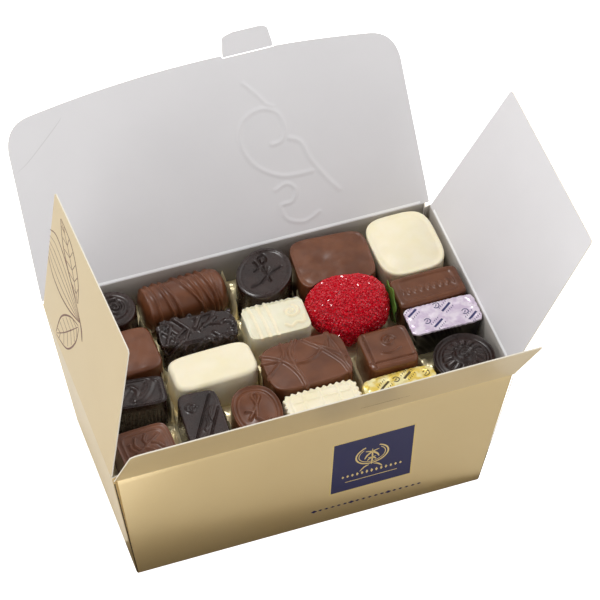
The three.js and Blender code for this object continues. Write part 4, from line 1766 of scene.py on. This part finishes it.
@dataclass
class Carton:
    """The tray with its lid, tuck tab, two end flaps and front flap."""

    board: Board = field(default_factory=Board)
    tab_at: float = 24.7
    tab_crease: float = 92.2
    tab_half: float = 12.4
    tab_reach: float = 10.8
    tab_chamfer: float = 4.2
    end_reach: float = 80.8
    end_inset: float = 3.0
    end_taper: float = 3.9
    end_corner: float = 1.2
    front_reach: float = 60.7
    front_inset: float = 0.5
    front_taper: float = 0.4
    front_rounded: float = 4.5
    front_sharp: float = 1.2
    left_twist: float = 1.4
    lid_lean: float = 38.0
    left_lean: float = -7.3
    right_lean: float = 27.0
    front_lean: float = 28.9
    flourish: tuple[tuple[list[tuple[float, float]], float], ...] = (
        ([(27, 46), (32, 47), (35, 53), (32, 61), (24, 64), (15, 60), (12, 50), (17, 38), (29, 30), (44, 29)], 1.8),
        ([(36, 47), (41, 44), (44, 35), (50, 24), (55, 17)], 2.0),
        ([(19, 78), (24, 72), (28, 66), (31, 64)], 1.5),
        ([(24, 24), (30, 26), (34, 22), (31, 17), (25, 16), (27, 9), (35, 6), (43, 9)], 1.5))

    def lid(self) -> Flap:
        """The lid.

        Returns:
            Its panel, not yet built.
        """
        position, heading = self.board.crease(Side.BACK)
        top = lid_outline(self.board)
        return Flap("lid", "lid", position, heading, self.lid_lean, top[:, 0].copy(), top, rows=130,
                    pressing=self.flourish)

    def tab(self) -> Flap:
        """The tuck tab on the lid's free edge.

        Returns:
            Its panel, not yet built.
        """
        position, heading = self.board.crease(Side.BACK)
        tip = math.radians(self.lid_lean)
        place = (self.tab_at, position[1] + self.tab_crease * math.sin(tip),
                 position[2] + self.tab_crease * math.cos(tip))
        half, reach, chamfer = self.tab_half, self.tab_reach, self.tab_chamfer
        edge = smooth_line([(-half, reach * 0.2), (-half + 0.8, reach * 0.6), (-half + 1.6, reach * 0.86),
                            (-half + chamfer * 1.6, reach)], 6)
        right = smooth_line([(half - chamfer, reach), (half - 1.2, reach * 0.88), (half - 0.5, reach * 0.6),
                             (half, reach * 0.2)], 6)
        top = np.concatenate([edge, right])
        return Flap("tuck_tab", "tab", place, heading, self.lid_lean, np.linspace(-half, half, len(top)), top, rows=8)

    def end(self, side: Side, lean: float, twist: float) -> Flap:
        """An end flap.

        Args:
            side: its side of the box.
            lean: its lean outwards, in degrees.
            twist: its twist, in degrees.

        Returns:
            Its panel, not yet built.
        """
        position, heading = self.board.crease(side)
        half = self.board.width / 2 - self.end_inset
        free = half - self.end_taper
        x = np.linspace(-free, free, 97)
        y = self.end_reach - np.clip(np.abs(x) - (free - self.end_corner), 0, None)
        name = f"{side.name.lower()}_flap"
        return Flap(name, name, position, heading, lean,
                    np.linspace(-half, half, len(x)), np.stack([x, y], axis=1), twist=twist, rows=64)

    def front(self) -> Flap:
        """The front flap: one corner rounder than the other.

        Returns:
            Its panel, not yet built.
        """
        position, heading = self.board.crease(Side.FRONT)
        half, reach, rounded = self.board.length / 2 - self.front_inset, self.front_reach, self.front_rounded
        free = half - self.front_taper
        x = np.unique(np.concatenate([np.linspace(-free, free, 150), free - rounded * np.linspace(0, 1, 12) ** 2]))
        right = np.clip(x - (free - rounded), 0, rounded)
        y = reach - (rounded - np.sqrt(np.clip(rounded ** 2 - right ** 2, 0, None)))
        y -= np.clip(-x - (free - self.front_sharp), 0, None)
        base = np.interp(x, (-free, free), (-half, half))
        return Flap("front_flap", "front_flap", position, heading, self.front_lean, base,
                    np.stack([x, y], axis=1), rows=40)

    def build(self) -> None:
        """Build every board of the carton."""
        Tray(self.board).build()
        lid, front = self.lid(), self.front()
        left, right = self.end(Side.LEFT, self.left_lean, self.left_twist), self.end(Side.RIGHT, self.right_lean, 0.0)
        for flap in (lid, self.tab(), left, right, front):
            flap.build()
        FrontLabel(self.board).build()
        FlapPrint(left).build()
        Scores(front, lid, right).build()


# ---------------------------------------------------------------- the gold sheet


@dataclass(frozen=True)
class Pleat:
    """A fold of the gold sheet that stands up between two columns of pralines, in millimetres."""

    start: tuple[float, float]
    end: tuple[float, float]
    wide: tuple[float, float]
    high: float

    def ribbon(self, level: float, seed: int) -> np.ndarray:
        """The fold's skin, from one foot over its crest to the other.

        Args:
            level: the height of the sheet that it rises from.
            seed: the seed of its crumples.

        Returns:
            Rows of points across the fold.
        """
        start, end = np.array(self.start), np.array(self.end)
        length = float(np.hypot(*(end - start)))
        along = np.linspace(0, 1, max(8, round(length / 0.5)))
        across = np.linspace(-1, 1, 15)
        s, t = np.meshgrid(along, across, indexing="ij")
        flat = np.stack([s * length, t * 3], axis=-1)
        half = self.wide[0] + (self.wide[1] - self.wide[0]) * s
        crest = self.high * (0.8 + 0.2 * creased(np.stack([s * length, 0 * s], axis=-1), seed, 6.0, 4))
        profile = (1 - np.abs(t) ** 1.6) * np.clip(np.minimum(s, 1 - s) * length / 1.2, 0, 1) ** 0.5
        sway = (creased(flat, seed + 50, 4.0, 5) - 0.6) * half * 0.7 * (1 - np.abs(t))
        side = np.array([-(end - start)[1], (end - start)[0]]) / length
        spot = start + s[..., None] * (end - start) + (half * t + sway)[..., None] * side
        z = level - 0.6 + crest * profile
        return np.concatenate([spot, z[..., None]], axis=-1)


@dataclass
class GoldSheet:
    """The crumpled gold sheet that the pralines lie on; it rises where no praline presses it."""

    board: Board
    pralines: list[Praline]
    top: float = 65.5
    corner: float = 6.0
    edge_gap: float = 0.2
    step: float = 0.8
    rise: float = 3.4
    log: tuple[float, float, float, float, float] = (-32.4, 42.9, 2.8, 20.8, 11.2)
    sweet: tuple[float, float, float, float, float] = (38.95, 10.6, -13.0, 20.0, 15.2)
    pleats: tuple[Pleat, ...] = (
        Pleat((-54.9, 40), (-54.7, 31), (0.8, 0.8), 13.5),
        Pleat((-53.2, 29.5), (-53.1, 8), (0.35, 0.3), 15),
        Pleat((-55.6, 4), (-56.9, -19), (1.0, 1.3), 15),
        Pleat((-60.4, -28), (-60.0, -50), (1.1, 1.1), 14),
        Pleat((-9.6, 53), (-9.2, 30), (1.6, 1.0), 15.5),
        Pleat((-12.75, 27), (-12.75, 6), (0.7, 0.6), 15),
        Pleat((-12.5, 4), (-12.35, -17), (0.25, 0.3), 15),
        Pleat((-35.5, -24), (-35.2, -50), (0.7, 0.9), 14),
        Pleat((20.6, 31), (20.2, 24), (0.6, 0.5), 15),
        Pleat((-10.8, -22), (-10.6, -34), (0.5, 0.5), 14),
        Pleat((31.6, -12), (31.8, -32), (1.1, 1.1), 9),
        Pleat((62.2, -24), (63.2, -40), (1.0, 0.8), 10))

    def room(self, x: np.ndarray, y: np.ndarray) -> np.ndarray:
        """How far each place lies outside the pralines, in millimetres.

        Args:
            x: the places' x.
            y: their y.

        Returns:
            The distances.
        """
        far = np.full(x.shape, 9.0)
        blocks = [(*self.log, 5.0), (*self.sweet, 2.0)]
        for praline in self.pralines:
            at_x, at_y, _ = node_middle(praline.node)
            blocks.append((at_x, at_y, praline.turn, praline.size[0] / 2, praline.size[1] / 2, praline.power))
        for at_x, at_y, degrees, half_x, half_y, power in blocks:
            turn = math.radians(degrees)
            along = (x - at_x) * math.cos(turn) + (y - at_y) * math.sin(turn)
            across = (y - at_y) * math.cos(turn) - (x - at_x) * math.sin(turn)
            norm = np.abs(along / half_x) ** power + np.abs(across / half_y) ** power
            far = np.minimum(far, (norm ** (1 / power) - 1) * min(half_x, half_y))
        return np.clip(far, 0, None)

    def build(self) -> bpy.types.Object:
        """Build and dress the sheet.

        Returns:
            The sheet.
        """
        low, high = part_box("gold_sheet")
        lowest, highest = np.array(low) / MM, np.array(high) / MM
        level, gap = self.top, self.edge_gap
        xs = np.linspace(lowest[0] + gap, highest[0] - gap, round((highest[0] - lowest[0]) / self.step))
        ys = np.linspace(lowest[1] + gap, highest[1] - gap, round((highest[1] - lowest[1]) / self.step))
        x, y = np.meshgrid(xs, ys)
        corner = self.corner - (highest[0] - np.abs(x)) - (highest[1] - np.abs(y))
        pull = np.clip(corner, 0, None) / 2
        x, y = x - np.sign(x) * pull, y - np.sign(y) * pull
        flat = np.stack([x, y], axis=-1)
        fold = creased(flat, 17, 7.0, 7) + 0.45 * creased(flat, 18, 2.6, 5)
        lift = np.clip(self.room(x, y) / 1.8, 0, 1)
        z = level - 0.1 + self.rise * fold * lift * 0.8
        form = Form()
        grid = np.stack([x, y, z], axis=-1)
        form.sheet(grid)
        border = np.concatenate([grid[0, :-1], grid[:-1, -1], grid[-1, :0:-1], grid[:0:-1, 0]])
        floor = border.copy()
        share = (level - lowest[2]) / self.board.height
        floor[:, 0] *= 1 - share * self.board.end_taper / (self.board.length / 2)
        floor[:, 1] *= 1 - share * self.board.side_taper / (self.board.width / 2)
        floor[:, 2] = lowest[2]
        form.sheet(np.stack([floor, border]), wrap=True)
        form.fan(floor[::-1], (0, 0, lowest[2]))
        for i, pleat in enumerate(self.pleats):
            form.sheet(pleat.ribbon(level, 60 + i))
        piece = form.build("gold_sheet_crumpled", [CrumpledGold()], sharp=40)
        return settle(piece, "tray", "gold_sheet", "gold_sheet")


# ---------------------------------------------------------------- print and pressing


class Ink(Enum):
    """The inks and pressings laid on the board, with a painted crease shade and a painted fold highlight, as material
    slots of the printed pieces.
    """

    NAVY = 0
    PALE_GOLD = 1
    BROWN = 2
    SCORE = 3
    CREASE = 4
    FOLD = 5
    SEAM = 6


INKS = [NAVY_PRINT, PALE_GOLD, BROWN_LINE, SCORE_LINE, CREASE_SHADE_BOARD, FOLD_HIGHLIGHT_BOARD, SEAM_LINE]


@dataclass
class Print:
    """Thin closed strips of ink on one board, drawn in the board's own millimetres."""

    name: str
    body: str
    slot: str
    lay: Callable[[np.ndarray, np.ndarray, np.ndarray], np.ndarray]
    inks: list[object] = field(default_factory=lambda: INKS)
    form: Form = field(default_factory=Form)

    def strip(self, line: np.ndarray, width: float, ink: Ink, proud: float = 0.04, taper: float = 0.0) -> None:
        """Lay one strip along a line.

        Args:
            line: the line's corners, one row each.
            width: its width, in millimetres.
            ink: its ink.
            proud: how far it stands off the board.
            taper: how much narrower its ends are, 0 to 1.
        """
        line = np.asarray(line, float)
        way = np.gradient(line, axis=0)
        way /= np.linalg.norm(way, axis=1, keepdims=True)
        side = np.stack([-way[:, 1], way[:, 0]], axis=1)
        share = np.linspace(-1, 1, len(line))
        half = (width / 2 * (1 - taper * share ** 2))[:, None]
        left, right = line + side * half, line - side * half
        low, high = np.full(len(line), 0.004), np.full(len(line), proud)
        ring = [self.lay(spot[:, 0], spot[:, 1], out)
                for spot, out in ((left, low), (right, low), (right, high), (left, high))]
        grid = np.stack(ring, axis=1)
        self.form.sheet(grid, wrap=True, slot=ink.value)
        self.form.fan(grid[0][::-1], tuple(grid[0].mean(axis=0)), slot=ink.value)
        self.form.fan(grid[-1], tuple(grid[-1].mean(axis=0)), slot=ink.value)

    def curve(self, points: list[tuple[float, float]], width: float, ink: Ink, taper: float = 0.7) -> None:
        """Lay a smooth tapered stroke through some points."""
        self.strip(smooth_line(points, 10), width, ink, 0.04, taper)

    def ring(self, centre: tuple[float, float], radius: tuple[float, float], width: float, ink: Ink,
             sweep: tuple[float, float] = (0, 360)) -> None:
        """Lay an arc of an ellipse, its sweep in degrees.

        Args:
            centre: the ellipse's middle, in millimetres.
            radius: its two radii.
            width: the strip's width.
            ink: its ink.
            sweep: the first and last angle, in degrees.
        """
        angle = np.radians(np.linspace(*sweep, 64))
        self.strip(np.stack([centre[0] + radius[0] * np.cos(angle), centre[1] + radius[1] * np.sin(angle)], axis=1),
                   width, ink, 0.07)

    def build(self) -> bpy.types.Object:
        """Build the strips as one piece."""
        piece = self.form.build(self.name, self.inks, weld_mm=0.0005, sharp=30)
        return settle(piece, self.body, self.slot)


@dataclass
class FrontLabel:
    """The front wall's print: a navy label with a pale gold border and ornament, a rule and dark seams."""

    board: Board
    left: float = 8.6
    right: float = 50.1
    top: float = 19.3
    bottom: float = 62.6
    border: float = 0.8

    def lay(self, x: np.ndarray, down: np.ndarray, proud: np.ndarray) -> np.ndarray:
        """A place on the front wall, from its run and its distance below the rim.

        Args:
            x: the run along the wall.
            down: the distance below the rim.
            proud: how far it stands off the wall.

        Returns:
            The points, in millimetres.
        """
        board = self.board
        slant = math.hypot(board.side_taper, board.height)
        share = down / slant
        y = -board.width / 2 + share * board.side_taper - proud * board.height / slant
        z = board.height * (1 - share) - proud * board.side_taper / slant
        return np.stack([x, y, z], axis=-1)

    def build(self) -> None:
        """Build the label, the rule and the dark seams at the wall's two edges."""
        board = self.board
        art = Print("front_label_print", "tray", "gold_card", self.lay)
        across = (self.left + self.right) / 2
        level = np.linspace(self.top, self.bottom, 12)
        art.strip(np.stack([np.full(12, across), level], axis=1), self.right - self.left, Ink.NAVY, 0.03)
        a, b = self.border / 2, self.border
        for x in (self.left + a, self.right - a):
            art.strip([(x, self.top), (x, self.bottom)], b, Ink.PALE_GOLD, 0.05)
        for y in (self.top + a, self.bottom - a):
            art.strip([(self.left + b, y), (self.right - b, y)], b, Ink.PALE_GOLD, 0.05)
        centre = (across - 0.4, self.top + 16.4)
        art.ring(centre, (8.0, 7.4), 0.8, Ink.PALE_GOLD, (-65, 245))
        art.ring(centre, (6.6, 6.0), 0.4, Ink.PALE_GOLD, (-50, 230))
        leaf = [(-3.6, 3.0), (-2.4, 0.2), (0.2, -2.2), (3.4, -3.4)]
        for sign in (1, -1):
            art.curve([(centre[0] + sign * x, centre[1] + y) for x, y in leaf], 1.1, Ink.PALE_GOLD)
            art.curve([(centre[0] + sign * 0.6 * x, centre[1] + 0.4 * y + 3.6) for x, y in leaf], 0.9, Ink.PALE_GOLD)
            art.curve([(centre[0] + sign * (1.2 + 1.1 * k), centre[1] + 8.6 + 0.24 * k * k) for k in range(5)], 0.9,
                      Ink.PALE_GOLD)
        art.curve([(centre[0], centre[1] + 8.4), (centre[0] + 0.2, centre[1] + 3), (centre[0], centre[1] - 4.6)], 0.8,
                  Ink.PALE_GOLD)
        low = self.top + 30.4
        for k in range(-6, 7):
            x, reach = across + 2.4 * k, 1.5 - 0.09 * abs(k)
            art.strip(np.array([(x, low - reach), (x + 0.1, low), (x, low + reach)]), 1.3, Ink.PALE_GOLD, 0.06, 0.85)
        art.strip([(across - 13, low + 4.8), (across + 13, low + 4.8)], 0.45, Ink.PALE_GOLD, 0.05)
        for k in range(18):
            x = 1.6 + 3.12 * k
            tall = 1.5 if k % 6 == 0 else 1.0
            art.strip(np.array([(x - tall, 73.4), (x, 73.4), (x + tall, 73.4)]), 1.5 * tall, Ink.NAVY, 0.04, 0.9)
        share = np.linspace(0.02, 0.985, 24)
        for side, wide in ((-1, 0.6), (1, 0.3)):
            edge = side * (board.length / 2 - board.end_taper * share - 0.45)
            rise = share * math.hypot(board.side_taper, board.height)
            art.strip(np.stack([edge, rise], axis=1), wide, Ink.SEAM, 0.05)
        art.build()


@dataclass
class FlapPrint:
    """Generic brown line drawing of a cocoa pod with leaves on the left flap's outer face."""

    flap: Flap
    span: float = 54.0

    def lay(self, back: np.ndarray, up: np.ndarray, proud: np.ndarray) -> np.ndarray:
        """A place on the flap's outer face, from its distance to the back end and up from the crease."""
        return self.flap.point(self.span - back, up, self.flap.thick / 2 + proud)

    def build(self) -> None:
        """Build the drawing."""
        art = Print("left_flap_drawing", "left_flap", "gold_card", self.lay)
        upper = np.array([(1.8, 54), (10, 58.4), (22, 56.4), (34, 50.6), (44, 44.4), (49.5, 40.7)])
        lower = np.array([(1.8, 36), (10, 31.4), (22, 30.6), (34, 33.4), (43, 37.4), (49.5, 40.7)])
        for share in (0, 0.22, 0.42, 0.6, 0.8, 1):
            art.curve(upper + share * (lower - upper), 0.95 if share in (0, 1) else 0.5, Ink.BROWN, 0.6)
        art.curve([(49, 40.6), (51.4, 38), (53.6, 33)], 1.6, Ink.BROWN, 0.5)
        leaves = (([(48, 37), (46, 24), (36, 9), (20, 2.4)], [(48, 37), (36, 31), (25, 19), (20, 2.4)]),
                  ([(44, 47), (41, 60), (30, 71), (13, 74)], [(44, 47), (30, 53), (19, 62), (13, 74)]))
        for one, other in leaves:
            one, other = smooth_line(one, 8), smooth_line(other, 8)
            middle = (one + other) / 2
            for line, wide in ((one, 0.9), (other, 0.9), (middle, 0.6)):
                art.strip(line[1:-1], wide, Ink.BROWN, 0.04, 0.6)
            for k in range(4, 21, 3):
                for edge in (one, other):
                    art.strip(middle[k] + np.linspace(0, 0.86, 6)[:, None] * (edge[k + 2] - middle[k]), 0.4, Ink.BROWN)
        art.build()


@dataclass
class Scores:
    """Cut and creased lines: the tab's slit in the front flap, a corner crease in the lid drawn in painted shade, and
    painted highlights along the folds.
    """

    front: Flap
    lid: Flap
    right: Flap

    def build(self) -> None:
        """Build the slit on both faces of the flap, the corner crease's line of painted shade and the painted fold
        highlights.
        """
        half = self.front.thick / 2
        slit = [(-16.9, 23.9), (-22, 23.2), (-30, 23.0), (-36, 22.8), (-41.0, 22.2)]
        for side, name in ((1, "outer"), (-1, "inner")):
            cut = Print(f"front_flap_slit_{name}", "front_flap", "gold_card",
                        lambda u, v, out, side=side: self.front.point(u, v, side * (half + out)))
            cut.curve(slit, 0.45, Ink.SCORE, 0.5)
            cut.build()
        # The lid's corner crease, drawn as a grey line of painted shade.
        crease = Print("lid_corner_crease", "lid", "gold_card",
                       lambda u, v, out: self.lid.point(u, v, -self.lid.thick / 2 - out))
        crease.curve([(-95.6, 62.4), (-91, 65), (-86.3, 68.5), (-77.8, 75.5), (-71.6, 80.8), (-69.6, 83)], 0.4,
                     Ink.CREASE, 0.8)
        crease.build()
        # Painted highlights along the lid's and the right flap's folds, on their inner faces.
        for flap, (low, high) in ((self.lid, (-93, 93)), (self.right, (-50, 50))):
            edge = Print(f"{flap.body}_fold", flap.body, "gold_card",
                         lambda u, v, out, flap=flap: flap.point(u, v, -flap.thick / 2 - out))
            edge.strip(np.stack([np.linspace(low, high, 40), np.full(40, 1.0)], axis=1), 1.1, Ink.FOLD, 0.06)
            edge.build()


# ---------------------------------------------------------------- studio


@dataclass
class Studio:
    """The floor, the soft lights and the camera."""

    floor_mm: float = 6000.0
    lit: tuple[float, float, float] = (0, 0, 80)
    room: tuple[tuple[Side, float], ...] = (
        (Side.RIGHT, 2.7), (Side.LEFT, 1.75), (Side.BACK, 0.2),
        (Side.FRONT, 0.3), (Side.ABOVE, 0.2), (Side.BELOW, 0.1))
    lamps: tuple[tuple[str, tuple[float, float, float], float, float], ...] = (
        ("key overhead", (-260, 420, 1380), 240, 8.0),
        ("lamp behind", (200, 900, 1250), 300, 0.4),
        ("lamp on the left", (-1150, -900, 330), 700, 3.0),
        ("lamp on the right", (900, -1150, 300), 700, 1.6))
    # Painted shadow: a dark sheet in front of the box, seen only in reflections, that stands for the box's shadow on
    # the floor.
    floor_shadow: tuple[tuple[float, float], ...] = ((-120, -30), (-120, -75), (110, -50), (110, -30))
    card: tuple[tuple[float, float], ...] = (
        (-190, -290), (-30, -290), (-60, -110), (-118, -84), (-150, -110))

    def camera(self) -> None:
        """Set up the camera."""
        az, el, roll = (math.radians(v) for v in (AZIMUTH, ELEVATION, ROLL))
        back = Vector((math.sin(az) * math.cos(el), -math.cos(az) * math.cos(el), math.sin(el)))
        right = (-back).cross(Vector((0, 0, 1))).normalized()
        up = right.cross(-back)
        tilted_right = math.cos(roll) * right + math.sin(roll) * up
        tilted_up = -math.sin(roll) * right + math.cos(roll) * up
        data = bpy.data.cameras.new("camera")
        data.sensor_width = SENSOR_MM
        data.lens = FOCAL_PX * SENSOR_MM / FRAME_PX
        camera = linked("camera", data)
        place = Matrix((tilted_right, tilted_up, back)).transposed().to_4x4()
        place.translation = Vector(AIM_MM) * MM + back * DISTANCE_MM * MM
        camera.matrix_world = place
        bpy.context.scene.camera = camera

    def light(self, name: str, at: tuple[float, float, float], size: float, watts: float) -> None:
        """Add one soft white area light that faces the box.

        Args:
            name: its name.
            at: its place, in millimetres.
            size: its side, in millimetres.
            watts: its power.
        """
        data = bpy.data.lights.new(name, "AREA")
        data.energy = watts
        data.size = size * MM
        lamp = linked(name, data)
        place = Vector(at) * MM
        lamp.location = place
        lamp.rotation_euler = (place - Vector(self.lit) * MM).to_track_quat("Z", "Y").to_euler()

    def plane(self, name: str, colour: str, glow: float, corners: tuple[tuple[float, float], ...],
              low: float) -> bpy.types.Object:
        """Lay one flat piece of the studio.

        Args:
            name: its name.
            colour: its paint.
            glow: how brightly it glows of itself.
            corners: its corners, in millimetres.
            low: its height, in millimetres.

        Returns:
            The piece.
        """
        mesh = bpy.data.meshes.new(name)
        mesh.from_pydata([(x * MM, y * MM, low * MM) for x, y in corners], [], [tuple(range(len(corners)))])
        settings = {"Base Color": linear(colour), "Roughness": 0.9}
        if glow:
            settings |= {"Emission Color": linear("ffffff"), "Emission Strength": glow}
        mesh.materials.append(blank_material(f"{name}, painted", settings)[0])
        plane = linked(name, mesh)
        return plane

    def floor(self) -> None:
        """Lay the floor that shows, the one that throws light back, a dark sheet in front that paints the box's shadow
        on the floor into the walls' reflections, and a light card.
        """
        half = self.floor_mm / 2
        square = ((-half, -half), (half, -half), (half, half), (-half, half))
        seen = self.plane("floor", "f4f4f4", 0.98, square, -0.2)
        seen.visible_diffuse = seen.visible_glossy = seen.visible_shadow = False
        self.plane("bounce floor", "e4e2de", 0.0, square, -0.4).visible_camera = False
        # Painted shadow on the floor in front of the box, seen only in the walls' reflections.
        floor_shadow = self.plane("dark flag", "54401f", 0.0, self.floor_shadow, -0.3)
        card = self.plane("light card", "ffffff", 0.85, self.card, -0.3)
        for sheet in (floor_shadow, card):
            sheet.visible_camera = sheet.visible_shadow = False

    def world(self) -> None:
        """Set the soft light of the room: each of its six sides has its own brightness."""
        world = bpy.data.worlds.new("room")
        bpy.context.scene.world = world
        world.use_nodes = True
        tree = world.node_tree
        way = add(tree, "ShaderNodeTexCoord").outputs["Generated"]
        total = None
        for side, strength in self.room:
            facing = add(tree, "ShaderNodeVectorMath", {"operation": "DOT_PRODUCT", 1: side.value}, {0: way})
            near = add(tree, "ShaderNodeMath", {"operation": "MAXIMUM", 1: 0.0}, {0: facing.outputs["Value"]})
            share = add(tree, "ShaderNodeMath", {"operation": "POWER", 1: 2.0}, {0: near.outputs[0]})
            lit = add(tree, "ShaderNodeMath", {"operation": "MULTIPLY", 1: strength}, {0: share.outputs[0]})
            if total is not None:
                lit = add(tree, "ShaderNodeMath", {"operation": "ADD"}, {0: total, 1: lit.outputs[0]})
            total = lit.outputs[0]
        background = tree.nodes["Background"]
        background.inputs[0].default_value = linear("ffffff")
        tree.links.new(total, background.inputs[1])
        bpy.context.scene.view_settings.view_transform = "Standard"

    def build(self) -> None:
        """Build the studio."""
        self.camera()
        self.floor()
        self.world()
        for name, at, size, watts in self.lamps:
            self.light(name, at, size, watts)


def pralines() -> list[Praline]:
    """Every praline of the top layer that is a block, with its sizes.

    Returns:
        The pralines.
    """
    dark = {"finish": DARK, "slot": "dark_chocolate"}
    ivory = {"finish": IVORY, "slot": "white_chocolate"}
    return [
        DarkDisc("dark_disc", (22, 22), 18.2, power=2, draft=0.9, edge=1, seed=2, **dark),
        MilkPlain("milk_plain", (37.2, 26.8), 18.4, 1.5, 6, 0.4, 2, seed=3),
        DarkScroll("dark_scroll", (31, 16.8), 18.4, -6.5, 7, 0.2, 0.8, seed=4, step=0.3, **dark),
        MilkRelief("milk_relief", (25.8, 23.6), 18.2, 2, 6, 0.5, 1.6, seed=5),
        DarkBark("dark_bark", (37.4, 18.8), 19.4, -3.4, 5, 0.3, 1.2, seed=6, levels=56, **dark),
        IvoryBar("ivory_bar", (40.4, 21), 19.0, 1.7, 5, 0.4, 2.2, seed=7, **ivory),
        DarkBand("dark_band", (19.4, 34.2), 18.7, -4, 6, 0.3, 1, seed=8, **dark),
        MilkEgg("milk_egg", (23, 29.2), 19.4, -3, 2.3, 0.2, 2, seed=9),
        DarkOval("dark_oval", (32, 25.6), 21.4, 52, 2, 0.3, 0.8, seed=10, **dark),
        WhiteBlock("white_block", (30, 20), 19.0, -1.5, 8, 0.3, 0.7, seed=11,
                   finish=WHITE, slot="white_chocolate", others=(IVORY,)),
        MilkArcs("milk_arcs", (40.2, 27.8), 20.8, 0, 4.5, 0.3, 1.8, seed=12),
        IvoryWaffle("ivory_waffle", (35.4, 18.8), 18.4, 0, 7, 0.1, 0.7, seed=13, **ivory),
        MilkDimple("milk_dimple", (37.8, 31), 20.2, -4, 5, 0.3, 2, seed=14),
        MilkFrame("milk_frame", (24.2, 23.4), 19.5, -1, 8, 0.3, 0.8, seed=15),
        FoilPraline("yellow_foil", (35.6, 17.2), 17.0, 0, 5, 0.1, 1.2, YELLOW, "yellow_foil", seed=16,
                    crinkle=0.8, facet=5, ink=DARK_INK, dashes=((-7.4, 2.3), (4.9, 5.2)),
                    circles=((-1.3, 4.1), (13.3, 3.4), (-12.6, -2))),
        IvoryPillow("ivory_pillow", (33, 38), 20.6, 0, 3.6, -0.8, 3.4, seed=17, **ivory),
        MilkBar("milk_bar", (34, 18.4), 19.2, 0, 9, -1, 1.8, seed=18),
        FoilPraline("lilac_foil", (35, 16.8), 18.3, -1, 9, -2.4, 0.6, LILAC, "lilac_foil", seed=19, crinkle=0.45,
                    others=(LILAC_DARK_SIDES,), ink=FOIL_INK, dashes=((-13.6, 5.0), (-3.6, -4.5), (3.0, 3.9), (13, -5.0)),
                    circles=((-8.3, -1.8), (10.6, -1.4), (-1.3, 6.1))),
        DarkPetals("dark_petals", (29.2, 29.2), 19.2, 0, 2, 0, 2.4, seed=20, **dark),
    ]


def main() -> None:
    """Build the studio and the box of pralines, piece by piece."""
    logging.basicConfig(level=logging.INFO, format="%(message)s")
    Studio().build()
    carton = Carton()
    carton.build()
    layer = pralines()
    GoldSheet(carton.board, layer).build()
    for praline in layer:
        praline.build()
    MilkLog().build()
    RedSweet().build()


if __name__ == "__main__":
    main()
